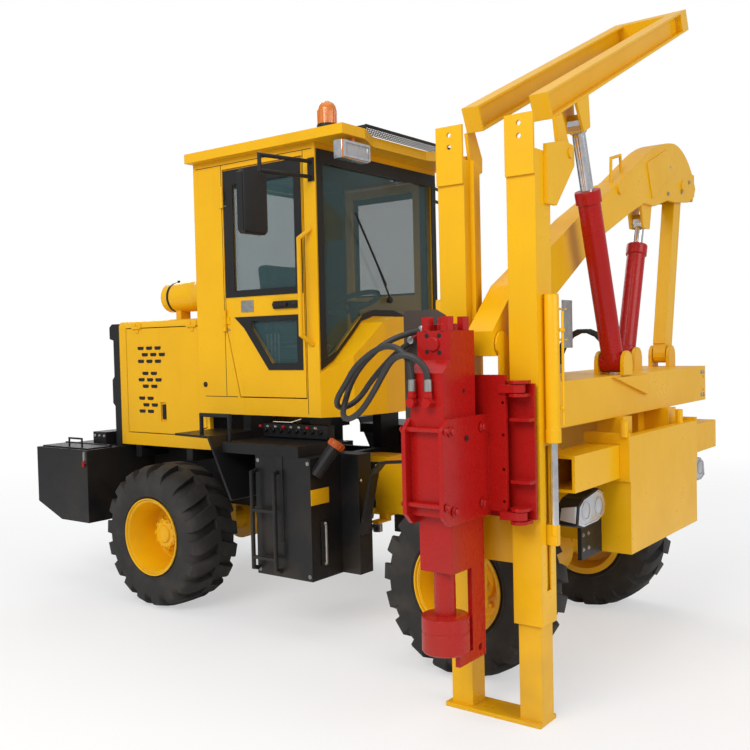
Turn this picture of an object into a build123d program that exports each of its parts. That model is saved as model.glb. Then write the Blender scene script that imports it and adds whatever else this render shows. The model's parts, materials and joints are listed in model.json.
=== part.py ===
from build123d import *
import math
import os

# A small articulated loader that carries a guard-rail post driver on its right side.
# Frame while drawing: X forward from the rear axle, Y to the left, Z up from the ground.
# At the end everything moves so that the origin is under the middle of the footprint.
# All sizes are in millimetres.

# Wheels and axles
WHEEL_BASE = 2350.0
TRACK_HALF = 755.0
TYRE_RADIUS = 470.0
TYRE_WIDTH = 390.0
TYRE_BORE = 232.0
TYRE_SIDE_DROP = 6.0
BEAD_CONE = 20.0
CARCASS_RADIUS = 436.0
SHOULDER_RADIUS = 385.0
TREAD_HALF = 125.0
LUG_COUNT = 18
LUG_THICK = 42.0
LUG_SWEEP = 60.0
LUG_INNER = 12.0
LUG_ROOT = 40.0
WHEEL_SIDES = 36
RIM_SIDES = 24
HUB_SIDES = 16
ROUND_SIDES = 12
TUBE_SIDES = 8
RIM_WIDTH = 300.0
RIM_WALL = 14.0
RIM_LIP = 22.0
RIM_LIP_THICK = 10.0
RIM_OVERHANG = 34.0
RIM_TAPER = 25.0
RIM_DISC = 22.0
RIM_DISC_INSET = 70.0
HUB_RADIUS = 118.0
HUB_LENGTH = 150.0
HUB_INSIDE = 60.0
HUB_LOBES = 3
HUB_LOBE_RADIUS = 62.0
HUB_LOBE_OUT = 74.0
AXLE_TUBE = 78.0
AXLE_DRUM = 150.0
AXLE_DRUM_HALF = 120.0
AXLE_FLANGE = 130.0
AXLE_FLANGE_THICK = 60.0
AXLE_SEAT = (180.0, 120.0)
WHEEL_GAP = 0.3

# Clearances between pieces that fit
EYE_CLEAR = 0.5
ROD_CLEAR = 0.4
SEAT_GAP = 0.3
ROOT = 2.0

# Articulation between the two frames
PIVOT_X = 1175.0
PIVOT_RADIUS = 45.0
PIVOT_EAR = 110.0
PIVOT_FORK = 95.0
PIVOT_LOW = 600.0
PIVOT_HIGH = 985.0
PIVOT_PLATE = 45.0
PIVOT_CLEAR = 6.0
FORK_REACH = 150.0
FORK_ROOT = 20.0
STEER_CYL_RADIUS = 38.0
STEER_ROD_RADIUS = 20.0
STEER_ROD_START = 270.0
STEER_BORE_START = 70.0
STEER_PIN = 16.0
STEER_EYE = 30.0
STEER_EYE_HALF = 24.0
STEER_CYL_Z = 555.0
STEER_BASE_X = 640.0
STEER_BASE_Y = 330.0
STEER_EYE_X = 1360.0
STEER_EYE_Y = 260.0
STEER_BARREL = 440.0
STEER_PAD = 45.0
STEER_PAD_LOW = 599.0
STEER_PAD_THICK = 16.0
STEER_ARM = 15.0

# Rear frame
RAIL_Y = 300.0
RAIL_THICK = 30.0
RAIL_LOW = 605.0
RAIL_HIGH = 985.0
RAIL_REAR = -700.0
RAIL_FRONT = 1020.0
END_PLATE = 60.0
FLOOR_UP = 60.0
FLOOR_THICK = 25.0
OUTRIGGERS = (-600.0, -60.0, 480.0)
OUTRIGGER_WIDE = 60.0
HOOD_PADS = (-600.0, -60.0)
CAB_PADS = (430.0, 940.0)
CAB_PAD_WIDE = 70.0
ENGINE_BEARERS = (-450.0, -60.0)
BEARER_WIDE = 50.0
BEARER_HALF = 200.0

# Rear weight box
BOX_REAR = -1300.0
BOX_FRONT = -700.3
BOX_HALF = 900.0
BOX_LOW = 486.0
BOX_TOP = 1000.0
BOX_CHAMFER_X = 280.0
BOX_CHAMFER_Z = 112.0
HUMP_REAR = -1030.0
HUMP_FRONT = -880.0
HUMP_CLEAR = 70.0
HUMP_HIGH = 95.0
LID_THICK = 10.0
LID_WIDTH = 200.0
LID_EDGE = 30.0
LID_KNUCKLE = 9.0
LID_HANDLE = (-1000.0, -850.0)
LID_HANDLE_TUBE = 7.0
LID_HANDLE_HIGH = 70.0
LID_HANDLE_IN = 70.0

# Hood
HOOD_REAR = -752.0
HOOD_FRONT = 185.0
HOOD_HALF = 550.0
HOOD_LOW = 1012.0
HOOD_TOP = 1905.0
HOOD_WALL = 30.0
HOOD_ROUND = 40.0
PANEL_REAR = -670.0
PANEL_FRONT = 150.0
PANEL_LOW = 1105.0
PANEL_TOP = 1850.0
PANEL_GAP = 6.0
PANEL_HINGES = (-560.0, 20.0)
PANEL_HANDLE = (-315.0, -255.0, 1190.0, 1325.0)
PANEL_HANDLE_DEEP = 12.0
PANEL_NOTCH_X = 210.0
PANEL_NOTCH_Z = 60.0
KNUCKLE_RADIUS = 8.0
KNUCKLE_LONG = 30.0
KNUCKLE_OUT = 9.0
LEAF_LONG = 34.0
LEAF_THICK = 5.0
GRILLE_DEEP = 70.0
GRILLE_BROW = 42.0
GRILLE_BROW_LOW = 1770.0
GRILLE_TOP = 1890.0
GRILLE_BORDER = 90.0
GRILLE_SILL = 80.0
GRILLE_BACK = 10.0
GRILLE_SLATS = 9
SLAT_THICK = 18.0
SLAT_DEEP = 30.0
GRILLE_BUMP = (1310.0, 1480.0, 24.0)

# Engine and what stands on the hood
ENGINE_SIZE = (560.0, 420.0, 680.0)
ENGINE_CENTRE = (-230.0, 0.0, 1180.0)
CLEANER_RADIUS = 105.0
CLEANER_REAR = -392.0
CLEANER_FRONT = 125.0
CLEANER_IN = 200.0
CLEANER_Z = 2068.0
CLEANER_FEET = (-300.0, 20.0)
CLEANER_FOOT = (50.0, 90.0)

# Cab
CAB_REAR = 200.0
CAB_FRONT = 1250.0
CAB_HALF = 650.0
CAB_LOW = 1270.0
CAB_TOP = 2905.0
CAB_WALL = 45.0
NOSE_PLAN = ((1375.0, 480.0), (1425.0, 220.0))
NOSE_LINE = ((650.0, 1538.0), (525.0, 1599.0), (331.0, 1758.0), (243.0, 1837.0), (115.0, 1870.0),
    (0.0, 1872.0))
SCREEN_LINE = ((600.0, 1600.0), (480.0, 1660.0), (300.0, 1815.0), (215.0, 1880.0), (100.0, 1912.0))
SCREEN_TOP = 2800.0
REAR_PANE = (560.0, 1965.0, 2815.0)
ROOF_REAR = 190.0
ROOF_FRONT = 1515.0
ROOF_HALF = 715.0
ROOF_EAR_IN = 500.0
ROOF_BROW = ((1415.0, 290.0), (1400.0, 0.0))
ROOF_THICK = 60.0
ROOF_CROWN = 16.0
ROOF_CROWN_IN = 60.0
DOOR_REAR = 475.0
DOOR_FRONT = 1140.0
DOOR_LOW = 1387.0
DOOR_TOP = 2832.0
DOOR_THICK = 45.0
DOOR_GAP = 7.0
DOOR_HINGES = (1850.0, 2640.0)
DOOR_REBATE = 6.0
HINGE_RADIUS = 11.0
HINGE_LONG = 45.0
HINGE_OUT = 12.0
DOOR_FOOT_X = 110.0
DOOR_FOOT_Z = 453.0
DOOR_RAIL_LOW = 1900.0
DOOR_RAIL_TOP = 2015.0
FRAME_BAR = 55.0
PANE_EDGE = 30.0
PANE_LOW = 1592.0
PANE_HEEL_X = 860.0
PANE_SHOULDER = (672.0, 1830.0)
GLASS_THICK = 6.0
GRAB_TUBE = 14.0
GRAB_OUT = 722.0
GRAB_X = 1172.0
GRAB_FOOT_X = 1205.0
GRAB_LOW = 1706.0
GRAB_TOP = 2398.0
GRAB_BEND = 60.0

# What is in the cab
SEAT_BASE = (430.0, 800.0, 160.0, 330.0)
SEAT_CUSHION = (400.0, 850.0, 250.0, 110.0)
SEAT_BACK_LOW = 1710.0
SEAT_BACK_TOP = 2280.0
SEAT_BACK_HALF = 240.0
SEAT_BACK_THICK = 100.0
SEAT_BACK_LEAN = 75.0
WHEEL_RING = (198.0, 172.0, 26.0)
WHEEL_CENTRE = (1000.0, 0.0, 1965.0)
WHEEL_LEAN = 20.4
COLUMN_TUBE = 35.0
COLUMN_FOOT = (1060.0, 1150.0, 60.0, 1500.0)
CONSOLE = (920.0, 1010.0, 350.0, 50.0, 1700.0)
LEVER_TOP = 1900.0
LEVER_HALF = 8.0
LEVER_APART = 40.0

# Mirrors and lamps
MIRROR_POST_X = 1222.0
MIRROR_X = 1150.0
MIRROR_OUT = (985.0, 1180.0)
MIRROR_Z = (2335.0, 2690.0)
MIRROR_THICK = 42.0
MIRROR_ARM = 12.0
MIRROR_ARM_TOP = 2790.0
MIRROR_ARM_LOW = 2700.0
MIRROR_TUBE_IN = 30.0
MIRROR_STUB = 30.0
MIRROR_PLATE = 8.0
MIRROR_CORNER = 20.0
BEACON = (1230.0, -500.0, 55.0, 62.0, 50.0, 190.0)
WORK_LAMP = (1440.0, 1505.0, 450.0, 700.0, 2775.0, 2875.0)
LAMP_STEM = 14.0

# Side tanks, steps and fenders
TANK_REAR = 940.0
TANK_FRONT = 1370.0
TANK_LOW = 352.0
TANK_TOP = 1060.0
TANK_OUT = 900.0
TANK_IN = 500.0
TANK_STEP_FRONT = 1500.0
TANK_STEP_OUT = 620.0
TANK_BRACKET = (60.0, 160.0, 220.0, 65.0)
NECK_FOOT = (1366.0, 850.0, 958.0)
NECK_HEAD = (1450.0, 770.0, 1118.0)
NECK_TUBE = 40.0
NECK_CAP = (47.0, 32.0)
STEP_REAR = 661.0
STEP_FRONT = 1281.0
STEP_TOP = 1124.0
STEP_THICK = 64.0
STEP_IN = 480.0
HOOP_X = (450.0, 700.0)
HOOP_TOP = 1283.0
HOOP_IN = 30.0
LADDER_OUT = 945.0
LADDER_TUBE = 13.0
LADDER_X = (10.0, 190.0)
LADDER_LOW = 385.0
LADDER_TOP = 975.0
LADDER_RUNGS = (460.0, 740.0)
RUNG_HALF = 9.0
FENDER_OUT = 950.0
FENDER_IN = 560.0
FENDER_REAR = (290.0, 1168.0)
FENDER_KNEE = (592.0, 1160.0)
FENDER_FOOT = (785.0, 784.0)
FENDER_PLATE = 14.0
FENDER_BRACKET = (1100.0, 1135.0)
GUARD_PLATE = 13.0
GUARD_SEAT = 50.0
GUARD_IN = 50.0
GUARD_POINTS = ((1514.0, 590.0), (1598.0, 952.0), (1652.0, 1012.0), (1950.0, 1040.0))

# Front frame
NECK_HALF = 200.0
NECK_LOW = 640.0
NECK_HIGH = 940.0
FRONT_WIDE_X = 2060.0
FRONT_HALF = 300.0
FRONT_END = 2850.0
FRONT_LOW = 640.0
FRONT_TOP = 1010.0
BUMPER_REAR = 2892.0
BUMPER_FRONT = 3100.0
BUMPER_HALF = 500.0
BUMPER_LOW = 640.0
BUMPER_TOP = 1222.0
HOOK_PLATE = 15.0
HOOK_REAR = 2860.0
HOOK_LOW = 1000.0
HOOK_TOP = 1240.0
LOW_BEAM_FRONT = 3050.0
LOW_BEAM_REAR = 2880.0
LOW_BEAM_HALF = 1030.0
LOW_BEAM_LOW = 1015.0
LOW_BEAM_TOP = 1182.0
LOW_BEAM_WALL = 14.0
BEAM_POSTS = (-330.0, 330.0)
BEAM_POST = 60.0
BEAM_POST_IN = 30.0
BEAM_PINS = (-515.0, 285.0)
BEAM_PIN = 20.0
BEAM_PIN_TOP = 1300.0
ARM_INNER = 180.0
ARM_BACK = 350.0
ARM_FACE = (120.0, 150.0, 40.0)
TOP_BEAM_FRONT = 2980.0
TOP_BEAM_REAR = 2500.0
TOP_BEAM_LOW = 1305.0
TOP_BEAM_TOP = 1517.0
TOP_BEAM_LEFT = 1060.0
END_HOLE_Y = 1015.0
END_HOLE_Z = 1411.0
END_HOLE_PITCH = 80.0
END_HOLE_RADIUS = 9.0
END_HOLE_DEEP = 60.0
GUSSET = (-430.0, 20.0, 110.0, 20.0)
GUSSET_IN = 10.0
LUG_HALF = 60.0
LUG_PLATE = 20.0
LUG_SPACE = 6.0
PIN_RADIUS = 25.0
LAMP_OUTLINE = ((930.0, 845.0), (912.0, 932.0), (860.0, 960.0), (680.0, 988.0), (628.0, 968.0),
    (600.0, 900.0), (614.0, 852.0), (700.0, 830.0), (870.0, 826.0))
LAMP_REAR = 2905.0
LAMP_FACE = 3008.0
LAMP_BRACKET = (2925.0, 2945.0, 740.0, 640.0, 860.0)

# Mast
POST_WIDE = 140.0
POST_DEEP = 140.0
POST_WALL = 8.0
POST_X = (2560.0, 2915.0)
POST_OUT = -1240.0
POST_LOW = 450.0
POST_TOP = 2530.0
SPLICE_LOW = 2420.0
SPLICE_TOP = 2685.0
SPLICE_THICK = 12.0
SPLICE_HOLES = (2590.0, 2645.0)
SPLICE_HOLE = 12.0
GUIDE_BAR = 22.0
GUIDE_BACK = 50.0
GUIDE_LOW = 760.0
POST_SLOT = (600.0, 1240.0)
HINGE_BRACKET = 18.0
HINGE_BRACKET_LOW = 2300.0
HINGE_HEAD = 50.0
TIE_Z = (690.0, 920.0)
TIE_THICK = 20.0
TIE_BACK = 30.0
LEG_SIZE = 110.0
LEG_TOP = 1500.0
LEG_TRAVEL = 330.0
FOOT_THICK = 20.0
FOOT_EDGE = 22.0
FOOT_REACH = (80.0, 55.0)
LEG_CYL_RADIUS = 32.0
LEG_ROD_RADIUS = 18.0
LEG_CYL_LOW = 1255.0
LEG_CYL_HIGH = 1905.0
LEG_LUG_Z = 850.0
LEG_LUG_HALF = 45.0
LEG_LUG_THICK = 28.0
LEG_SLOT = 40.0

# Folding mast top
FOLD_Y = -930.0
FOLD_Z = 2550.0
FOLD_REST = 24.8
FOLD_OPEN = 65.2
FOLD_BEAM_LENGTH = 2080.0
FOLD_BEAM_START = -12.0
FOLD_BEAM_UNDER = 168.0
FOLD_BEAM_HIGH = 120.0
FOLD_BEAM_WIDE = 90.0
FOLD_FLANGE = 12.0
FOLD_WEB = 12.0
FOLD_CROSS = 110.0
FOLD_PIN = 22.0
FOLD_PIN_OUT = 7.0
FOLD_ARM_IN = 26.0
FOLD_ARM = 18.0
FOLD_ARM_HEAD = 40.0
FOLD_EAR = (40.0, 30.0, 90.0, 60.0)
FOLD_CYL_X = 2915.0
FOLD_BASE_Y = -250.0
FOLD_BASE_Z = 1580.0
FOLD_EYE_Y = -650.0
FOLD_EYE_Z = 2740.0
FOLD_BARREL_RADIUS = 55.0
FOLD_BARREL = 905.0
FOLD_ROD_RADIUS = 32.0
FOLD_ROD_STROKE = 280.0
FOLD_EYE = 48.0
EAR_PLATE = 14.0

# Boom, strut and lift cylinder
BOOM_X = (POST_X[0] + POST_X[1]) / 2
BOOM_WIDE = 130.0
TIP_Y = -1245.0
TIP_Z = 1695.0
STRUT_Y = 965.0
STRUT_Z = 1592.0
STRUT_TOP_Y = 1200.0
STRUT_TOP_Z = 2680.0
STRUT_WIDE = 80.0
STRUT_DEEP = 120.0
STRUT_NECK = 60.0
STRUT_BOSS = 34.0
STRUT_BOSS_OUT = 12.0
LIFT_BASE_Y = 360.0
LIFT_BASE_Z = 1590.0
LIFT_EYE_Y = 613.0
LIFT_EYE_Z = 2402.0
LIFT_BARREL_RADIUS = 52.0
LIFT_BARREL = 700.0
LIFT_ROD_RADIUS = 30.0
LIFT_ROD_STROKE = 440.0
LIFT_EYE = 46.0
GLAND_OUT = 8.0
GLAND_LONG = 60.0
BORE_START = 20.0
ROD_END_SPARE = 40.0
RING_TUBE = 9.0
BOOM_UNDER = ((-1310.0, 1750.0), (-1310.0, 1640.0), (-1180.0, 1640.0), (-480.0, 2040.0),
    (-100.0, 2260.0), (250.0, 2400.0), (520.0, 2500.0), (700.0, 2500.0), (930.0, 2560.0))
BOOM_HOLLOW = ((1130.0, 2768.0), (1400.0, 2600.0))
BOOM_FALL = ((1050.0, 2930.0), (1290.0, 2868.0), (1463.0, 2690.0))
BOOM_CREST = ((560.0, 2790.0), (820.0, 2890.0), (1050.0, 2930.0))
BOOM_OVER = ((560.0, 2790.0), (200.0, 2600.0), (-400.0, 2330.0), (-1090.0, 1960.0), (-1310.0, 1750.0))
BOOM_SLOT = (930.0, 1500.0, 2400.0, 2860.0)
BOOM_CHEEK = ((930.0, 2560.0), (1060.0, 2560.0), (1330.0, 2590.0), (1440.0, 2640.0), (1440.0, 2780.0),
    (930.0, 2800.0))
BOOM_WELD = ((640.0, 2540.0), (1100.0, 2790.0), (900.0, 2870.0), (560.0, 2740.0))
BOOM_BOSS = (140.0, 2540.0)
BOOM_RING = ((180.0, 2585.0), (188.0, 2725.0), (322.0, 2760.0), (335.0, 2662.0))
WELD_PLATE = 8.0
LIFT_LUG = ((520.0, 2510.0), (560.0, 2360.0), (660.0, 2360.0), (700.0, 2510.0))

# Carriage and hammer
CARRIAGE_TRAVEL = 1800.0
CARRIAGE_LOW = 930.0
CARRIAGE_TOP = 1520.0
CARRIAGE_PLATE = 16.0
CARRIAGE_CLEAR = 6.0
CARRIAGE_EDGE = (60.0, 65.0)
NOTCH_IN = 50.0
NOTCH_DEEP = 160.0
CARRIAGE_RIBS = (1095.0, 1365.0)
RIB_THICK = 14.0
RIB_OUT = 48.0
SHOE_CLEAR = 6.0
SHOE_WIDE = 14.0
SHOE_DEEP = 110.0
TIP_EAR = 55.0
TIP_EAR_THICK = 10.0
TIP_EAR_CLEAR = 4.0
SWING_X = 2925.0
SWING_Y = -1318.0
SWING_PIN = 16.0
SWING_LUG = 40.0
SWING_LUG_HALF = 7.0
SWING_LUG_APART = 28.0
SWING_TONGUE = 34.0
SWING_TONGUE_HALF = 18.0
SWING_INSET = 20.0
SWING_REACH = 50.0
SWING_ROOT = 80.0
SWING_PLATE_Y = -1318.0
SWING_PLATE = 20.0
SWING_PLATE_TOP = 1560.0
HAMMER_X = 2683.0
HAMMER_HALF = 82.0
HAMMER_BACK = -1405.0
HEAD_FACE = -1600.0
BODY_FACE = -1660.0
HEAD_TOP = 1755.0
HEAD_LOW = 1632.0
BODY_TOP = 1580.0
BODY_LOW = 980.0
TAIL_LOW = 735.0
TAIL_FACE = -1612.0
TAIL_BACK = -1352.0
HEAD_BOLT = 28.0
HEAD_BOLT_IN = (32.0, 36.0)
HEAD_BOLT_HIGH = 60.0
SIDE_PLATE = 20.0
SIDE_OUT = -1705.0
SIDE_TOP = 1390.0
SIDE_LOW = 945.0
SIDE_CUT = 45.0
TIE_ROD = 11.0
TIE_RODS = (1030.0, 1345.0)
TIE_ROD_Y = -1684.0
PORT_Z = 1458.0
PORT_Y = -1680.0
PORT_TUBE = 17.0
PORT_X = (2625.0, 2705.0)
PORT_NUT = 22.0
PORT_FRONT = -1702.0
ANCHOR_PLATE = (2413.0, 2640.0, -1425.0, -1413.0, 1357.0, 1850.0)
ANCHOR_CORNER = 60.0
ANCHOR_PORT = 34.0
TOOL_Y = -1550.0
TOOL_RADIUS = 46.0
TOOL_BORE = 240.0
TOOL_INSIDE = 150.0
CAP_RADIUS = 102.0
CAP_TOP = 540.0
CAP_LOW = 385.0
CAP_LIP = 72.0
CAP_LIP_HIGH = 35.0
TOOL_TRAVEL = 50.0
GUIDE_PLATE_X = (2742.0, 2764.0)
GUIDE_PLATES = ((-1460.0, -1352.0, 330.0, 745.0), (-1570.0, -1455.0, 330.0, 378.0))
GUIDE_HOLE = (-1400.0, 375.0, 17.0)
HOSE_RADIUS = 13.5
HOSE_SIDES = 6
BEND_SHARE = 0.45
HOSE_RUNS = (
    (
        (2625, -1680, 1530), (2625, -1680, 1592), (2600, -1676, 1648), (2548, -1672, 1690), (2480,
            -1667, 1698),
        (2398, -1661, 1668), (2300, -1653, 1604), (2246, -1649, 1532), (2185, -1645, 1459), (2152,
            -1592, 1418),
        (2152, -1518, 1418), (2185, -1465, 1459), (2247, -1466, 1534), (2325, -1470, 1604), (2415,
            -1480, 1672),
        (2470, -1438, 1719),
    ),
    (
        (2705, -1680, 1530), (2705, -1680, 1590), (2669, -1699, 1640), (2610, -1712, 1661), (2551,
            -1714, 1643),
        (2505, -1712, 1586), (2440, -1704, 1498), (2362, -1698, 1408), (2275, -1680, 1372), (2215,
            -1640, 1390),
        (2196, -1596, 1445), (2212, -1575, 1525), (2262, -1570, 1598), (2330, -1568, 1658), (2398,
            -1556, 1708),
        (2468, -1510, 1745), (2530, -1438, 1765),
    ),
)


# Small helpers for solids
def block(x0, x1, y0, y1, z0, z1):
    return Pos((x0 + x1) / 2, (y0 + y1) / 2, (z0 + z1) / 2) * Box(abs(x1 - x0), abs(y1 - y0), abs(z1 - z0))


def pin_x(radius, x0, x1, y, z):
    return Pos((x0 + x1) / 2, y, z) * Rot(0, 90, 0) * Cylinder(radius, abs(x1 - x0))


def pin_y(radius, x, y0, y1, z):
    return Pos(x, (y0 + y1) / 2, z) * Rot(90, 0, 0) * Cylinder(radius, abs(y1 - y0))


def pin_z(radius, x, y, z0, z1):
    return Pos(x, y, (z0 + z1) / 2) * Cylinder(radius, abs(z1 - z0))


# Many-sided bars stand in for long plain rounds
def bar_x(radius, x0, x1, y, z, sides=ROUND_SIDES):
    return Pos(min(x0, x1), y, z) * Rot(0, 90, 0) * extrude(RegularPolygon(radius, sides),
        amount=abs(x1 - x0))


def bar_y(radius, x, y0, y1, z, sides=ROUND_SIDES):
    return Pos(x, min(y0, y1), z) * Rot(-90, 0, 0) * extrude(RegularPolygon(radius, sides),
        amount=abs(y1 - y0))


def bar_z(radius, x, y, z0, z1, sides=ROUND_SIDES):
    return Pos(x, y, min(z0, z1)) * extrude(RegularPolygon(radius, sides), amount=abs(z1 - z0))


def bar_between(radius, start, end, sides=ROUND_SIDES):
    line = Vector(*end) - Vector(*start)
    plane = Plane(origin=Vector(*start), z_dir=line)
    return plane * extrude(RegularPolygon(radius, sides), amount=line.length)


# The radius whose many-sided bore lets a round pin of this radius turn
def eye_radius(pin_radius):
    return (pin_radius + EYE_CLEAR) / math.cos(math.pi / ROUND_SIDES)


def profile_xz(points, y0, y1):
    face = make_face(Polyline([(x, 0, z) for x, z in points], close=True))
    return Pos(0, min(y0, y1), 0) * extrude(face, amount=abs(y1 - y0), dir=(0, 1, 0))


def profile_yz(points, x0, x1):
    face = make_face(Polyline([(0, y, z) for y, z in points], close=True))
    return Pos(min(x0, x1), 0, 0) * extrude(face, amount=abs(x1 - x0), dir=(1, 0, 0))


def profile_xy(points, z0, z1):
    face = make_face(Polyline([(x, y, 0) for x, y in points], close=True))
    return Pos(0, 0, min(z0, z1)) * extrude(face, amount=abs(z1 - z0), dir=(0, 0, 1))


def tube_path(radius, points):
    path = Polyline(*points)
    section = Plane(origin=path @ 0, z_dir=path % 0) * RegularPolygon(radius, TUBE_SIDES)
    return sweep(section, path=path, transition=Transition.RIGHT)


def stack(stations, sides):
    rings = []
    for height, radius in sorted(stations):
        turns = [2 * math.pi * number / sides for number in range(sides)]
        rings.append([(radius * math.cos(turn), radius * math.sin(turn), height) for turn in turns])
    faces = [make_face(Polyline(*rings[0], close=True)), make_face(Polyline(*rings[-1], close=True))]
    for low, high in zip(rings, rings[1:]):
        for number in range(sides):
            after = (number + 1) % sides
            corners = (low[number], low[after], high[after], high[number])
            faces.append(make_face(Polyline(*corners, close=True)))
    return Solid(Shell(faces))


def ring_stack(stations, sides):
    return Rot(-90, 0, 0) * stack(stations, sides)


def mirror_y(shape):
    return mirror(shape, about=Plane.XZ)


def both_sides(shape):
    return shape + mirror_y(shape)


def on_side(shape, side):
    return shape if side > 0 else mirror_y(shape)


def mirrored(points):
    return [(x, y) for x, y in points] + [(x, -y) for x, y in reversed(points)]


def direction(angle):
    return math.cos(math.radians(angle)), math.sin(math.radians(angle))


def link_angle(y0, z0, y1, z1):
    return math.degrees(math.atan2(z1 - z0, y1 - y0))


def span(y0, z0, y1, z1):
    return math.hypot(y1 - y0, z1 - z0)


# Wheels: carcass with lugs, rim, hub. Built about the Y axis at the origin, outer side at +Y
def carcass():
    half = TYRE_WIDTH / 2 - TYRE_SIDE_DROP
    bead = RIM_WIDTH / 2
    past = half + 1
    tread = ring_stack([(-half, SHOULDER_RADIUS), (-TREAD_HALF, CARCASS_RADIUS),
        (TREAD_HALF, CARCASS_RADIUS), (half, SHOULDER_RADIUS)], WHEEL_SIDES)
    body = tread - ring_stack([(-past, TYRE_BORE), (past, TYRE_BORE)], RIM_SIDES)
    for side in (-1, 1):
        body = body - ring_stack([(side * bead, TYRE_BORE), (side * past, SHOULDER_RADIUS - BEAD_CONE)],
            RIM_SIDES)
    return body


def lug(side):
    half = TYRE_WIDTH / 2
    middle = LUG_SWEEP / 2
    edge = LUG_THICK / 2
    outline = [(-LUG_INNER, -edge - middle), (-LUG_INNER, edge - middle), (half, edge + middle),
        (half, -edge + middle)]
    face = make_face(Polyline([(0, side * y, z) for y, z in outline], close=True))
    low = SHOULDER_RADIUS - LUG_ROOT
    top = math.sqrt(TYRE_RADIUS ** 2 - (edge + middle) ** 2)
    return Pos(low, 0, 0) * extrude(face, amount=top - low, dir=(1, 0, 0))


def tyre():
    pitch = 360.0 / LUG_COUNT
    start = 180.0 / WHEEL_SIDES
    lugs = []
    for number in range(LUG_COUNT):
        lugs.append(Rot(0, start + number * pitch, 0) * lug(1))
        lugs.append(Rot(0, start + (number + 0.5) * pitch, 0) * lug(-1))
    return carcass() + lugs


def rim():
    outer = RIM_WIDTH / 2 + RIM_OVERHANG
    wall = TYRE_BORE - RIM_WALL
    lip = TYRE_BORE + RIM_LIP
    body = ring_stack([(-outer, TYRE_BORE - SEAT_GAP), (outer, TYRE_BORE - SEAT_GAP)], RIM_SIDES)
    for side in (-1, 1):
        body = body + ring_stack([(side * (outer - RIM_LIP_THICK), lip), (side * outer, lip)], RIM_SIDES)
    body = body - ring_stack([(-outer - 1, wall), (-RIM_DISC_INSET, wall - RIM_TAPER)], RIM_SIDES)
    return body - ring_stack([(RIM_DISC - RIM_DISC_INSET, wall - RIM_TAPER), (outer + 1, wall)], RIM_SIDES)


def hub():
    face = HUB_LENGTH - RIM_DISC_INSET
    body = ring_stack([(-RIM_DISC_INSET - HUB_INSIDE, HUB_RADIUS), (face, HUB_RADIUS)], HUB_SIDES)
    for number in range(HUB_LOBES):
        across, up = direction(90 + 360.0 / HUB_LOBES * number)
        lobe = ring_stack([(0, HUB_LOBE_RADIUS), (face, HUB_LOBE_RADIUS)], ROUND_SIDES)
        body = body + Pos(HUB_LOBE_OUT * across, 0, HUB_LOBE_OUT * up) * lobe
    return body


def wheel_at(x, side):
    turn = Rot(0, 0, 0) if side > 0 else Rot(0, 0, 180)
    place = Pos(x, side * TRACK_HALF, TYRE_RADIUS) * turn
    return place * tyre(), place * (rim() + hub())


def axle(x, frame_low):
    inner = TRACK_HALF - RIM_DISC_INSET - HUB_INSIDE - WHEEL_GAP
    tube = bar_y(AXLE_TUBE, x, -inner, inner, TYRE_RADIUS, HUB_SIDES)
    drum = pin_y(AXLE_DRUM, x, -AXLE_DRUM_HALF, AXLE_DRUM_HALF, TYRE_RADIUS)
    flange = both_sides(bar_y(AXLE_FLANGE, x, inner - AXLE_FLANGE_THICK, inner, TYRE_RADIUS, HUB_SIDES))
    long_half = AXLE_SEAT[0] / 2
    wide_half = AXLE_SEAT[1] / 2
    seat_block = block(x - long_half, x + long_half, RAIL_Y - wide_half, RAIL_Y + wide_half,
        TYRE_RADIUS, frame_low)
    return tube + drum + flange + both_sides(seat_block)


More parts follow.
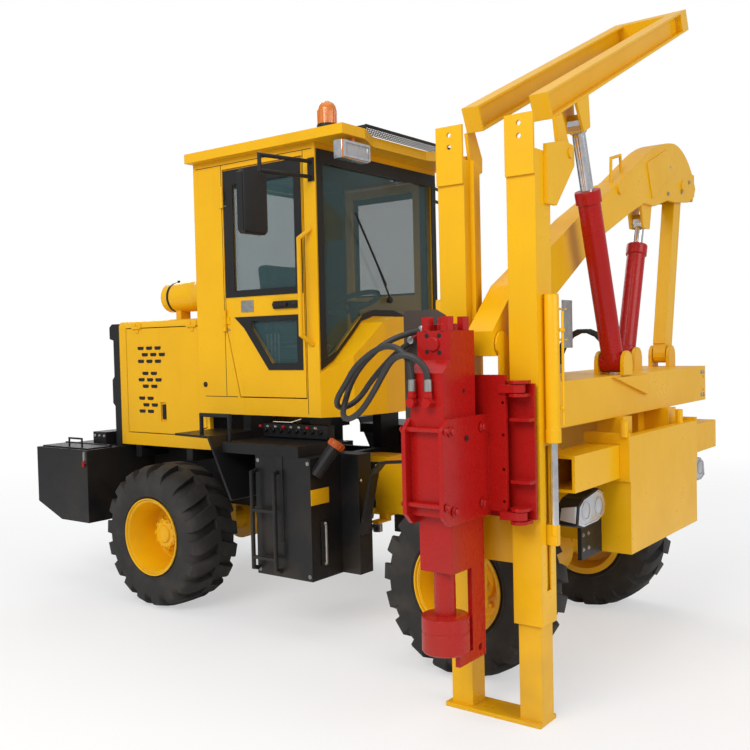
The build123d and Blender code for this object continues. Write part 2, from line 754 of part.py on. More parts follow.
# Rear frame
def rear_chassis():
    cross = RAIL_FRONT - END_PLATE
    rail = block(RAIL_REAR, RAIL_FRONT, RAIL_Y - RAIL_THICK, RAIL_Y, RAIL_LOW, RAIL_HIGH)
    floor_low = RAIL_LOW + FLOOR_UP
    floor = block(RAIL_REAR, cross, -RAIL_Y + RAIL_THICK, RAIL_Y - RAIL_THICK, floor_low,
        floor_low + FLOOR_THICK)
    front_end = block(cross, RAIL_FRONT, -RAIL_Y, RAIL_Y, RAIL_LOW, RAIL_HIGH)
    rear_end = block(RAIL_REAR, RAIL_REAR + RAIL_THICK, -RAIL_Y, RAIL_Y, RAIL_LOW, RAIL_HIGH)
    body = both_sides(rail) + floor + front_end + rear_end
    for z in (PIVOT_LOW + PIVOT_PLATE, PIVOT_HIGH - PIVOT_PLATE * 2):
        body = body + block(RAIL_FRONT - ROOT, PIVOT_X, -PIVOT_EAR, PIVOT_EAR, z, z + PIVOT_PLATE)
        body = body + bar_z(PIVOT_EAR, PIVOT_X, 0, z, z + PIVOT_PLATE, HUB_SIDES)
    body = body - bar_z(eye_radius(PIVOT_RADIUS), PIVOT_X, 0, PIVOT_LOW, PIVOT_HIGH)
    arm_low = RAIL_HIGH - OUTRIGGER_WIDE
    for x in OUTRIGGERS:
        body = body + both_sides(block(x, x + OUTRIGGER_WIDE, RAIL_Y - ROOT, HOOD_HALF - ROOT, arm_low,
            RAIL_HIGH))
    body = body + both_sides(block(cross, RAIL_FRONT, RAIL_Y - ROOT, TANK_IN - SEAT_GAP, arm_low,
        RAIL_HIGH))
    bearer_top = ENGINE_CENTRE[2] - ENGINE_SIZE[2] / 2 - SEAT_GAP
    for x in ENGINE_BEARERS:
        body = body + block(x, x + BEARER_WIDE, -BEARER_HALF, BEARER_HALF,
            floor_low + FLOOR_THICK - ROOT, bearer_top)
    for x in HOOD_PADS:
        pad = block(x, x + OUTRIGGER_WIDE, HOOD_HALF - HOOD_WALL, HOOD_HALF - ROOT, arm_low,
            HOOD_LOW - SEAT_GAP)
        body = body + both_sides(pad)
    for x in CAB_PADS:
        foot = block(x, x + CAB_PAD_WIDE, RAIL_Y - RAIL_THICK, STEP_IN - SEAT_GAP, RAIL_HIGH - ROOT,
            CAB_LOW - SEAT_GAP)
        body = body + both_sides(foot)
    x, y, half = STEER_BASE_X, STEER_BASE_Y, STEER_PAD
    pad_top = STEER_PAD_LOW + STEER_PAD_THICK
    pad = block(x - half, x + half, y - half, y + half, STEER_PAD_LOW, pad_top)
    pad = pad - bar_z(eye_radius(STEER_PIN), x, y, STEER_PAD_LOW - 1, pad_top + 1)
    return body + both_sides(pad)


def rear_box():
    outline = [
        (BOX_REAR, BOX_TOP),
        (BOX_FRONT, BOX_TOP),
        (BOX_FRONT, BOX_LOW),
        (BOX_REAR + BOX_CHAMFER_X, BOX_LOW),
        (BOX_REAR, BOX_LOW + BOX_CHAMFER_Z),
    ]
    body = profile_xz(outline, -BOX_HALF, BOX_HALF)
    half = BOX_HALF - LID_EDGE - LID_WIDTH - HUMP_CLEAR
    return body + block(HUMP_REAR, HUMP_FRONT, -half, half, BOX_TOP, BOX_TOP + HUMP_HIGH)


def box_lid(side):
    hinge_y = BOX_HALF - LID_EDGE - LID_WIDTH
    x0 = BOX_REAR + LID_EDGE
    x1 = BOX_FRONT - LID_EDGE
    plate = block(x0, x1, hinge_y, BOX_HALF - LID_EDGE, BOX_TOP + SEAT_GAP, BOX_TOP + LID_THICK)
    knuckle = pin_x(LID_KNUCKLE, x0, x1, hinge_y, BOX_TOP + SEAT_GAP + LID_KNUCKLE)
    y = BOX_HALF - LID_HANDLE_IN
    foot = BOX_TOP + LID_THICK - ROOT
    top = BOX_TOP + LID_HANDLE_HIGH
    rear, front = LID_HANDLE
    handle = tube_path(LID_HANDLE_TUBE, [(rear, y, foot), (rear, y, top), (front, y, top),
        (front, y, foot)])
    return on_side(plate + knuckle + handle, side)


def panel_outline(grow):
    return [
        (PANEL_REAR - grow, PANEL_LOW - grow),
        (PANEL_REAR - grow, PANEL_TOP + grow),
        (PANEL_FRONT + grow, PANEL_TOP + grow),
        (PANEL_FRONT + grow, PANEL_LOW + PANEL_NOTCH_Z - grow),
        (PANEL_FRONT - PANEL_NOTCH_X + grow / 2, PANEL_LOW - grow),
    ]


# One knuckle of a panel hinge with its leaf. The fixed ones stand above the seam, the moving ones below
def panel_knuckle(x, up, turned=False):
    seam = PANEL_TOP + PANEL_GAP / 2
    x1 = x + KNUCKLE_LONG
    y = HOOD_HALF + KNUCKLE_OUT
    knuckle = pin_x(KNUCKLE_RADIUS, x, x1, y, seam) if turned else bar_x(KNUCKLE_RADIUS, x, x1, y, seam,
        TUBE_SIDES)
    far = seam + up * LEAF_LONG
    edge = seam + up * (PANEL_GAP / 2 + 1)
    arm = block(x, x1, HOOD_HALF + SEAT_GAP, HOOD_HALF + LEAF_THICK, seam, far)
    near = block(x, x1, HOOD_HALF - ROOT, HOOD_HALF + LEAF_THICK, edge, far)
    return knuckle + arm + near


def hood():
    outer = block(HOOD_REAR, HOOD_FRONT, -HOOD_HALF, HOOD_HALF, HOOD_LOW, HOOD_TOP)
    outer = fillet(outer.edges().filter_by(Axis.X).group_by(Axis.Z)[-1], HOOD_ROUND)
    half = HOOD_HALF - HOOD_WALL
    shell = outer - block(HOOD_REAR - 1, HOOD_FRONT + 1, -half, half, HOOD_LOW - 1, HOOD_TOP - HOOD_WALL)
    shell = shell - both_sides(profile_xz(panel_outline(PANEL_GAP), half - 1, HOOD_HALF + 1))
    for x in PANEL_HINGES:
        for x0 in (x - KNUCKLE_LONG - SEAT_GAP, x + KNUCKLE_LONG + SEAT_GAP):
            shell = shell + both_sides(panel_knuckle(x0, 1))
    return shell


def hood_panel(side):
    x0, x1, z0, z1 = PANEL_HANDLE
    plate = profile_xz(panel_outline(0), HOOD_HALF - HOOD_WALL, HOOD_HALF)
    plate = plate - block(x0, x1, HOOD_HALF - PANEL_HANDLE_DEEP, HOOD_HALF + 1, z0, z1)
    for x in PANEL_HINGES:
        plate = plate + panel_knuckle(x, -1, x == PANEL_HINGES[0])
    return on_side(plate, side)


def grille():
    x1 = HOOD_REAR - SEAT_GAP
    x0 = x1 - GRILLE_DEEP
    bump_low, bump_top, bump = GRILLE_BUMP
    outline = [
        (x1, BOX_TOP + SEAT_GAP),
        (x0, BOX_TOP + SEAT_GAP),
        (x0, bump_low - bump),
        (x0 - bump, bump_low),
        (x0 - bump, bump_top),
        (x0, bump_top + bump),
        (x0, GRILLE_BROW_LOW),
        (x0 - GRILLE_BROW, GRILLE_BROW_LOW + bump / 2),
        (x0 - GRILLE_BROW, GRILLE_TOP - bump),
        (x0 - bump / 2, GRILLE_TOP),
        (x1, GRILLE_TOP),
    ]
    frame = profile_xz(outline, -HOOD_HALF, HOOD_HALF)
    half = HOOD_HALF - GRILLE_BORDER
    low = HOOD_LOW + GRILLE_SILL
    top = GRILLE_BROW_LOW - 2 * SLAT_THICK
    body = frame - block(x0 - GRILLE_BROW - 1, x1 - GRILLE_BACK, -half, half, low, top)
    pitch = (top - low) / GRILLE_SLATS
    for number in range(GRILLE_SLATS):
        z = low + pitch * (number + 0.5)
        body = body + block(x0, x0 + SLAT_DEEP, -half, half, z - SLAT_THICK / 2, z + SLAT_THICK / 2)
    return body


def engine():
    return Pos(*ENGINE_CENTRE) * Box(*ENGINE_SIZE)


def air_cleaner():
    side = CLEANER_IN - HOOD_HALF
    body = bar_x(CLEANER_RADIUS, CLEANER_REAR, CLEANER_FRONT, side, CLEANER_Z, RIM_SIDES)
    long, wide = CLEANER_FOOT
    for x in CLEANER_FEET:
        y0 = side - wide / 2
        body = body + block(x, x + long, y0, y0 + wide, HOOD_TOP + SEAT_GAP, CLEANER_Z - CLEANER_RADIUS / 2)
    return body


# Cab: an upright box with a faceted nose that rises in front of the windscreen
def nose_plan():
    rear = [(CAB_REAR, CAB_HALF), (CAB_FRONT, CAB_HALF)]
    return mirrored(rear + list(NOSE_PLAN))


def above_line(line, drop, top, x0, x1):
    right = [(-y, z - drop) for y, z in line]
    left = [(y, z - drop) for y, z in reversed(line) if y > 0]
    reach = line[0][0] + 1
    points = [(-reach, top), (-reach, line[0][1] - drop)] + right + left + [(reach, line[0][1] - drop),
        (reach, top)]
    return profile_yz(points, x0, x1)


def cab_volume(inset):
    front = CAB_FRONT - inset
    low = CAB_LOW + inset
    top = CAB_TOP - inset
    half = CAB_HALF - inset
    plan = make_face(Polyline([(x, y, 0) for x, y in nose_plan()], close=True))
    if inset > 0:
        plan = offset(plan, amount=-inset, kind=Kind.INTERSECTION)
    nose_top = NOSE_LINE[-1][1]
    lower = Pos(0, 0, low) * extrude(plan, amount=nose_top - low, dir=(0, 0, 1))
    lower = lower - above_line(NOSE_LINE, inset, nose_top + 1, front, NOSE_PLAN[-1][0] + 1)
    return lower + block(CAB_REAR + inset, front, -half, half, low, top)


def door_outline(grow):
    return [
        (DOOR_REAR + DOOR_FOOT_X - grow, DOOR_LOW - grow),
        (DOOR_FRONT + grow, DOOR_LOW - grow),
        (DOOR_FRONT + grow, DOOR_TOP + grow),
        (DOOR_REAR - grow, DOOR_TOP + grow),
        (DOOR_REAR - grow, DOOR_LOW + DOOR_FOOT_Z),
    ]


# One knuckle of a door hinge with its leaf. The fixed ones stand behind the seam, the moving ones before it
def door_knuckle(z, toward, turned=False):
    seam = DOOR_REAR - DOOR_GAP / 2
    z1 = z + HINGE_LONG
    y = CAB_HALF + HINGE_OUT
    knuckle = pin_z(HINGE_RADIUS, seam, y, z, z1) if turned else bar_z(HINGE_RADIUS, seam, y, z, z1,
        TUBE_SIDES)
    far = seam + toward * LEAF_LONG
    edge = seam + toward * (DOOR_GAP / 2 + 1)
    arm = block(seam, far, CAB_HALF + SEAT_GAP, CAB_HALF + LEAF_THICK, z, z1)
    near = block(edge, far, CAB_HALF - ROOT, CAB_HALF + LEAF_THICK, z, z1)
    return knuckle + arm + near


def grab_rail():
    foot_y = CAB_HALF - ROOT
    return tube_path(
        GRAB_TUBE,
        [
            (GRAB_FOOT_X, foot_y, GRAB_LOW),
            (GRAB_X, GRAB_OUT, GRAB_LOW + GRAB_BEND),
            (GRAB_X, GRAB_OUT, GRAB_TOP - GRAB_BEND),
            (GRAB_FOOT_X, foot_y, GRAB_TOP),
        ],
    )


def cab_shell():
    shell = cab_volume(0) - cab_volume(CAB_WALL)
    shell = shell - both_sides(profile_xz(door_outline(DOOR_GAP), CAB_HALF - CAB_WALL - DOOR_REBATE,
        CAB_HALF + 1))
    for z in DOOR_HINGES:
        for z0 in (z - HINGE_LONG - SEAT_GAP, z + HINGE_LONG + SEAT_GAP):
            shell = shell + both_sides(door_knuckle(z0, -1))
    shell = shell - above_line(SCREEN_LINE, 0, SCREEN_TOP, CAB_FRONT - CAB_WALL - 1, CAB_FRONT + 1)
    half, low, top = REAR_PANE
    shell = shell - block(CAB_REAR - 1, CAB_REAR + CAB_WALL + 1, -half, half, low, top)
    return shell + both_sides(grab_rail())


def cab_glass():
    x0 = CAB_FRONT - CAB_WALL / 2
    front = above_line(SCREEN_LINE, 0, SCREEN_TOP, x0, x0 + GLASS_THICK)
    half, low, top = REAR_PANE
    x0 = CAB_REAR + CAB_WALL / 2
    rear = block(x0, x0 + GLASS_THICK, -half, half, low, top)
    return Compound([front, rear])


def cab_roof():
    outline = mirrored([(ROOF_REAR, ROOF_HALF), (ROOF_FRONT, ROOF_HALF),
        (ROOF_FRONT, ROOF_EAR_IN)] + [ROOF_BROW[0]])
    low = CAB_TOP + SEAT_GAP
    slab = profile_xy(outline, low, low + ROOF_THICK)
    inset = ROOF_CROWN_IN
    crown = block(ROOF_REAR + inset, ROOF_BROW[1][0] - inset, -ROOF_HALF + inset, ROOF_HALF - inset,
        low + ROOF_THICK - ROOT, low + ROOF_THICK + ROOF_CROWN)
    return slab + chamfer(crown.faces().sort_by(Axis.Z)[-1].edges(), ROOF_CROWN)


def upper_pane():
    return [
        (DOOR_REAR + FRAME_BAR, DOOR_RAIL_TOP + PANE_EDGE),
        (DOOR_FRONT - FRAME_BAR, DOOR_RAIL_TOP + PANE_EDGE),
        (DOOR_FRONT - FRAME_BAR, DOOR_TOP - FRAME_BAR),
        (DOOR_REAR + FRAME_BAR, DOOR_TOP - FRAME_BAR),
    ]


def lower_pane():
    top = DOOR_RAIL_LOW - PANE_EDGE
    return [
        (PANE_SHOULDER[0], top),
        (DOOR_FRONT - FRAME_BAR, top),
        (DOOR_FRONT - FRAME_BAR, PANE_LOW),
        (PANE_HEEL_X, PANE_LOW),
        PANE_SHOULDER,
    ]


def door(side):
    leaf = profile_xz(door_outline(0), CAB_HALF - DOOR_THICK, CAB_HALF)
    for pane in (upper_pane(), lower_pane()):
        leaf = leaf - profile_xz(pane, CAB_HALF - DOOR_THICK - 1, CAB_HALF + 1)
    for z in DOOR_HINGES:
        leaf = leaf + door_knuckle(z, 1, z == DOOR_HINGES[0])
    return on_side(leaf, side)


def door_glass(side):
    y0 = CAB_HALF - DOOR_THICK / 2
    return Compound([on_side(profile_xz(pane, y0, y0 + GLASS_THICK), side) for pane in (upper_pane(),
        lower_pane())])


# What is in the cab
def seat():
    floor = CAB_LOW + CAB_WALL + SEAT_GAP
    x0, x1, half, high = SEAT_BASE
    base_top = CAB_LOW + high
    body = block(x0, x1, -half, half, floor, base_top)
    x0, x1, half, high = SEAT_CUSHION
    body = body + block(x0, x1, -half, half, base_top, base_top + high)
    lean = SEAT_BACK_LEAN
    back = [(x0, SEAT_BACK_LOW), (x0 + SEAT_BACK_THICK, SEAT_BACK_LOW),
        (x0 + SEAT_BACK_THICK - lean, SEAT_BACK_TOP), (x0 - lean, SEAT_BACK_TOP)]
    return body + profile_xz(back, -SEAT_BACK_HALF, SEAT_BACK_HALF)


def steering_column():
    floor = CAB_LOW + CAB_WALL + SEAT_GAP
    x0, x1, half, top = COLUMN_FOOT
    foot = block(x0, x1, -half, half, floor, top)
    outer, inner, thick = WHEEL_RING
    ring = extrude(RegularPolygon(outer, RIM_SIDES) - RegularPolygon(inner, RIM_SIDES), amount=thick)
    spoke = Pos(0, 0, thick / 2) * Box(COLUMN_TUBE, 2 * inner + ROOT, thick / 2)
    tilt = Pos(*WHEEL_CENTRE) * Rot(0, -WHEEL_LEAN, 0)
    tube = bar_between(COLUMN_TUBE, ((x0 + x1) / 2, 0, top - ROOT * 10),
        (WHEEL_CENTRE[0], 0, WHEEL_CENTRE[2] + thick / 2))
    column = foot + tube + tilt * (ring + spoke)
    x0, x1, y, half, top = CONSOLE
    console = block(x0, x1, -y - half, -y + half, floor, top)
    x = (x0 + x1) / 2
    for apart in (-LEVER_APART / 2, LEVER_APART / 2):
        lever_y = apart - y
        console = console + block(x - LEVER_HALF, x + LEVER_HALF, lever_y - LEVER_HALF,
            lever_y + LEVER_HALF, top - ROOT, LEVER_TOP)
    return Compound([column, console])


# Steps, tanks and fenders on the rear frame
def tank(side):
    outline = [
        (TANK_REAR, TANK_IN),
        (TANK_REAR, TANK_OUT),
        (TANK_FRONT, TANK_OUT),
        (TANK_FRONT, TANK_STEP_OUT),
        (TANK_STEP_FRONT, TANK_STEP_OUT),
        (TANK_STEP_FRONT, TANK_IN),
    ]
    body = profile_xy(outline, TANK_LOW, TANK_TOP - SEAT_GAP)
    near, far, down, up = TANK_BRACKET
    bracket = block(TANK_REAR + near, TANK_REAR + far, RAIL_Y + SEAT_GAP, TANK_IN + ROOT,
        RAIL_HIGH - down, RAIL_HIGH - up)
    body = body + bracket
    foot_y = TANK_OUT - ROOT
    for x in (TANK_REAR + LADDER_X[0], TANK_REAR + LADDER_X[1]):
        top = LADDER_TOP - LADDER_TUBE
        low = LADDER_LOW + LADDER_TUBE
        rail = [(x, foot_y, LADDER_TOP), (x, LADDER_OUT, top), (x, LADDER_OUT, low),
            (x, foot_y, LADDER_LOW)]
        body = body + tube_path(LADDER_TUBE, rail)
    for z in LADDER_RUNGS:
        x0 = TANK_REAR + LADDER_X[0]
        x1 = TANK_REAR + LADDER_X[1]
        body = body + block(x0, x1, LADDER_OUT - RUNG_HALF, LADDER_OUT + RUNG_HALF, z - RUNG_HALF,
            z + RUNG_HALF)
    way = (Vector(*NECK_HEAD) - Vector(*NECK_FOOT)).normalized()
    cap_end = Vector(*NECK_HEAD) + way * NECK_CAP[1]
    body = body + bar_between(NECK_TUBE, NECK_FOOT, NECK_HEAD)
    body = body + bar_between(NECK_CAP[0], NECK_HEAD, tuple(cap_end))
    return on_side(body, side)


def fender_height(x):
    rise = (FENDER_KNEE[1] - FENDER_REAR[1]) / (FENDER_KNEE[0] - FENDER_REAR[0])
    return FENDER_REAR[1] + rise * (x - FENDER_REAR[0])


def step_deck(side):
    deck = block(STEP_REAR, STEP_FRONT, STEP_IN, TANK_OUT, STEP_TOP - STEP_THICK, STEP_TOP)
    y = TANK_OUT - HOOP_IN
    x0, x1 = HOOP_X
    foot = fender_height(x0 - LADDER_TUBE) + SEAT_GAP
    hoop = tube_path(LADDER_TUBE, [(x0, y, foot), (x0, y, HOOP_TOP), (x1, y, HOOP_TOP),
        (x1, y, STEP_TOP - ROOT)])
    return on_side(deck + hoop, side)


def rear_fender(side):
    plate = FENDER_PLATE
    outline = [
        FENDER_REAR,
        FENDER_KNEE,
        FENDER_FOOT,
        (FENDER_FOOT[0] - plate, FENDER_FOOT[1] - plate / 2),
        (FENDER_KNEE[0] - plate / 2, FENDER_KNEE[1] - plate),
        (FENDER_REAR[0], FENDER_REAR[1] - plate),
    ]
    body = profile_xz(outline, FENDER_IN, FENDER_OUT)
    x0 = CAB_PADS[0]
    low, top = FENDER_BRACKET
    bracket = block(x0, x0 + CAB_PAD_WIDE, STEP_IN, FENDER_IN + ROOT, low, top)
    under = block(x0, x0 + CAB_PAD_WIDE, FENDER_IN - plate, FENDER_IN + ROOT, top - ROOT,
        fender_height(x0) - plate / 2)
    return on_side(body + bracket + under, side)


def front_mudguard(side):
    rear = TANK_STEP_FRONT + SEAT_GAP
    foot, knee, brow, tip = GUARD_POINTS
    plate = GUARD_PLATE
    outline = [
        (rear, foot[1]),
        foot,
        knee,
        brow,
        tip,
        (tip[0], tip[1] + plate),
        (brow[0] - plate / 2, brow[1] + plate),
        (knee[0] - plate, knee[1] + plate / 2),
        (rear, foot[1] + GUARD_SEAT),
    ]
    return on_side(profile_xz(outline, TANK_IN + GUARD_IN, TANK_STEP_OUT), side)


# Mirrors stand out on bent tubes, lamps stand on and under the roof
def mirrors():
    out_y = MIRROR_OUT[0] + MIRROR_TUBE_IN
    stub = CAB_HALF + MIRROR_STUB
    plate_low = MIRROR_ARM_LOW - MIRROR_ARM * 2
    plate_top = MIRROR_ARM_TOP + MIRROR_ARM * 2
    plate = block(MIRROR_POST_X - MIRROR_ARM * 2, MIRROR_POST_X + MIRROR_ARM * 2, CAB_HALF + SEAT_GAP,
        CAB_HALF + MIRROR_PLATE, plate_low, plate_top)
    upper = tube_path(
        MIRROR_ARM,
        [
            (MIRROR_POST_X, CAB_HALF + ROOT, MIRROR_ARM_TOP),
            (MIRROR_POST_X, stub, MIRROR_ARM_TOP),
            (MIRROR_X, out_y, MIRROR_ARM_TOP),
            (MIRROR_X, out_y, MIRROR_Z[1] - ROOT),
        ],
    )
    lower = tube_path(
        MIRROR_ARM,
        [
            (MIRROR_POST_X, CAB_HALF + ROOT, MIRROR_ARM_LOW),
            (MIRROR_POST_X, stub, MIRROR_ARM_LOW),
            (MIRROR_X, out_y, MIRROR_ARM_LOW),
        ],
    )
    head = block(MIRROR_X - MIRROR_THICK / 2, MIRROR_X + MIRROR_THICK / 2, *MIRROR_OUT, *MIRROR_Z)
    head = chamfer(head.edges().filter_by(Axis.X), MIRROR_CORNER)
    return both_sides(plate + upper + lower + head)


def roof_lamps():
    x, y, dome_radius, base_radius, base_high, high = BEACON
    top = CAB_TOP + SEAT_GAP + ROOF_THICK + ROOF_CROWN + SEAT_GAP
    base = bar_z(base_radius, x, y, top, top + base_high)
    stations = [(base_high - ROOT, dome_radius), (high * 0.7, dome_radius),
        (high * 0.9, dome_radius * 0.8), (high, dome_radius * 0.3)]
    beacon = base + Pos(x, y, top) * stack(stations, ROUND_SIDES)
    x0, x1, y0, y1, z0, z1 = WORK_LAMP
    middle_x = (x0 + x1) / 2
    middle_y = (y0 + y1) / 2
    stem = block(middle_x - LAMP_STEM, middle_x + LAMP_STEM, middle_y - LAMP_STEM, middle_y + LAMP_STEM,
        z1 - ROOT, CAB_TOP)
    lamp = block(x0, x1, y0, y1, z0, z1) + stem
    return Compound([beacon, lamp, mirror_y(lamp)])


# Front frame
def front_chassis():
    fork_x = PIVOT_X + FORK_REACH
    neck = block(fork_x - FORK_ROOT, FRONT_WIDE_X + ROOT, -NECK_HALF, NECK_HALF, NECK_LOW, NECK_HIGH)
    body = neck + block(FRONT_WIDE_X, FRONT_END, -FRONT_HALF, FRONT_HALF, FRONT_LOW, FRONT_TOP)
    low = PIVOT_LOW
    high = PIVOT_HIGH - PIVOT_PLATE
    thick = PIVOT_PLATE - PIVOT_CLEAR
    for z in (low, high):
        body = body + block(PIVOT_X, fork_x, -PIVOT_FORK, PIVOT_FORK, z, z + thick)
        body = body + bar_z(PIVOT_FORK, PIVOT_X, 0, z, z + thick, HUB_SIDES)
    body = body + block(fork_x - FORK_ROOT, fork_x + FORK_ROOT, -PIVOT_FORK, PIVOT_FORK, low, high + thick)
    body = body + pin_z(PIVOT_RADIUS, PIVOT_X, 0, low, high + thick)
    arm_low = STEER_CYL_Z + STEER_EYE
    x0 = STEER_EYE_X - STEER_EYE
    x1 = STEER_EYE_X + STEER_EYE
    inner = NECK_HALF - STEER_PAD
    arm = block(x0, x1, inner, STEER_EYE_Y + STEER_EYE, arm_low, arm_low + STEER_ARM)
    arm = arm + block(x0, x1, inner, NECK_HALF, arm_low, NECK_LOW + ROOT)
    return body + both_sides(arm)


def front_box():
    body = block(BUMPER_REAR, BUMPER_FRONT, -BUMPER_HALF, BUMPER_HALF, BUMPER_LOW, LOW_BEAM_LOW - SEAT_GAP)
    face_rear = LOW_BEAM_FRONT + SEAT_GAP
    body = body + block(face_rear, BUMPER_FRONT, -BUMPER_HALF, BUMPER_HALF, BUMPER_LOW, BUMPER_TOP)
    hook = block(HOOK_REAR, BUMPER_FRONT, BUMPER_HALF - ROOT, BUMPER_HALF + HOOK_PLATE, HOOK_LOW, HOOK_TOP)
    out = BUMPER_HALF + HOOK_PLATE + 1
    hook = hook - block(LOW_BEAM_REAR - SEAT_GAP, face_rear, 0, out, LOW_BEAM_LOW - SEAT_GAP,
        LOW_BEAM_TOP + SEAT_GAP)
    body = body + both_sides(hook)
    pin_place = (face_rear + BUMPER_FRONT) / 2
    for y in BEAM_PINS:
        body = body + bar_z(BEAM_PIN, pin_place, y, BUMPER_TOP - ROOT, BEAM_PIN_TOP)
    return body


def low_beam():
    wall = LOW_BEAM_WALL
    half = LOW_BEAM_HALF
    outer = block(LOW_BEAM_REAR, LOW_BEAM_FRONT, -half, half, LOW_BEAM_LOW, LOW_BEAM_TOP)
    hollow = half + 1
    body = outer - block(LOW_BEAM_REAR + wall, LOW_BEAM_FRONT - wall, -hollow, hollow,
        LOW_BEAM_LOW + wall, LOW_BEAM_TOP - wall)
    post_front = LOW_BEAM_FRONT - BEAM_POST_IN
    for y in BEAM_POSTS:
        body = body + block(LOW_BEAM_REAR, post_front, y - BEAM_POST, y + BEAM_POST,
            LOW_BEAM_TOP - ROOT, TOP_BEAM_LOW - SEAT_GAP)
    face_inner, face_down, face_up = ARM_FACE
    arm = block(FRONT_END + SEAT_GAP, LOW_BEAM_REAR + ROOT, face_inner, FRONT_HALF,
        FRONT_TOP - face_down, LOW_BEAM_TOP - face_up)
    arm = arm + block(FRONT_END - ARM_BACK, LOW_BEAM_REAR, ARM_INNER, FRONT_HALF, FRONT_TOP + SEAT_GAP,
        TOP_BEAM_LOW - SEAT_GAP)
    return body + both_sides(arm)


def top_beam():
    right = POST_OUT + POST_DEEP + SEAT_GAP
    body = block(TOP_BEAM_REAR, TOP_BEAM_FRONT, right, TOP_BEAM_LEFT, TOP_BEAM_LOW, TOP_BEAM_TOP)
    for z in (END_HOLE_Z - END_HOLE_PITCH / 2, END_HOLE_Z + END_HOLE_PITCH / 2):
        body = body - pin_x(END_HOLE_RADIUS, TOP_BEAM_FRONT - END_HOLE_DEEP, TOP_BEAM_FRONT + 1,
            END_HOLE_Y, z)
    y0, y1, down, out = GUSSET
    top = TOP_BEAM_TOP - GUSSET_IN
    body = body + profile_yz([(y0, top), (y1, top), (y1, top - down)], TOP_BEAM_FRONT - ROOT,
        TOP_BEAM_FRONT + out)
    sets = (
        # place along X, Y and Z, half width of what it holds
        (FOLD_CYL_X, FOLD_BASE_Y, FOLD_BASE_Z, FOLD_BARREL_RADIUS),
        (BOOM_X, LIFT_BASE_Y, LIFT_BASE_Z, LIFT_BARREL_RADIUS),
        (BOOM_X, STRUT_Y, STRUT_Z, STRUT_WIDE / 2),
    )
    for x, y, z, half in sets:
        inner = half + LUG_SPACE
        outer = inner + LUG_PLATE
        for side in (-1, 1):
            x0 = x + side * inner
            x1 = x + side * outer
            body = body + block(x0, x1, y - LUG_HALF, y + LUG_HALF, TOP_BEAM_TOP - ROOT, z)
            body = body + bar_x(LUG_HALF, x0, x1, y, z)
        body = body + pin_x(PIN_RADIUS, x - inner, x + inner, y, z)
    return body


def headlamps():
    lamp = profile_yz(LAMP_OUTLINE, LAMP_REAR, LAMP_FACE)
    x0, x1, out, low, top = LAMP_BRACKET
    return both_sides(lamp + block(x0, x1, BUMPER_HALF + SEAT_GAP, out, low, top))


# Mast: two posts with guide bars inside, and legs that slide in them
def mast_posts():
    y0 = POST_OUT
    y1 = POST_OUT + POST_DEEP
    middle = (y0 + y1) / 2
    half = POST_WIDE / 2
    wall = POST_WALL
    body = block(POST_X[0] + half, POST_X[1] - half, y1 - TIE_BACK, y1 - TIE_BACK + TIE_THICK, *TIE_Z)
    bracket_side = [
        (y1 - 60, HINGE_BRACKET_LOW),
        (y1 + 30, HINGE_BRACKET_LOW),
        (FOLD_Y + HINGE_HEAD, FOLD_Z - HINGE_HEAD),
        (FOLD_Y + HINGE_HEAD, FOLD_Z + HINGE_HEAD - 10),
        (FOLD_Y - HINGE_HEAD, FOLD_Z + HINGE_HEAD),
        (y1 - 60, POST_TOP + 30),
    ]
    for x, side in zip(POST_X, (-1, 1)):
        inner = x - side * half
        outer = x + side * half
        bracket_x = outer + side * HINGE_BRACKET
        tube = block(x - half, x + half, y0, y1, POST_LOW, POST_TOP)
        tube = tube - block(x - half + wall, x + half - wall, y0 + wall, y1 - wall, POST_LOW - 1,
            POST_TOP + 1)
        slot_deep = outer - side * wall * 2
        tube = tube - block(outer + side, slot_deep, middle - LEG_SLOT / 2, middle + LEG_SLOT / 2,
            *POST_SLOT)
        splice = block(x - half, x + half, y0 - SPLICE_THICK, y0, SPLICE_LOW, SPLICE_TOP)
        for z in SPLICE_HOLES:
            splice = splice - bar_y(SPLICE_HOLE, x, y0 - SPLICE_THICK - 1, y0 + 1, z, TUBE_SIDES)
        bar = block(inner, inner - side * GUIDE_BAR, y0 + GUIDE_BACK, y0 + GUIDE_BACK + GUIDE_BAR,
            GUIDE_LOW, POST_TOP)
        bracket = profile_yz(bracket_side, outer, bracket_x)
        bracket = bracket - bar_x(eye_radius(FOLD_PIN), min(outer, bracket_x) - 1,
            max(outer, bracket_x) + 1, FOLD_Y, FOLD_Z)
        body = body + tube + splice + bar + bracket
    return body


def leg_cylinder_places():
    reach = POST_WIDE / 2 + LEG_CYL_RADIUS + SEAT_GAP
    return [(POST_X[0] - reach, -1), (POST_X[1] + reach, 1)]


def leg_cylinders():
    y = POST_OUT + POST_DEEP / 2
    barrels = []
    for x, side in leg_cylinder_places():
        barrel = bar_z(LEG_CYL_RADIUS, x, y, LEG_CYL_LOW, LEG_CYL_HIGH, HUB_SIDES)
        bore_top = LEG_CYL_LOW + LEG_TRAVEL + ROD_END_SPARE
        barrels.append(barrel - bar_z(LEG_ROD_RADIUS + ROD_CLEAR, x, y, LEG_CYL_LOW - 1, bore_top))
    return Compound(barrels)


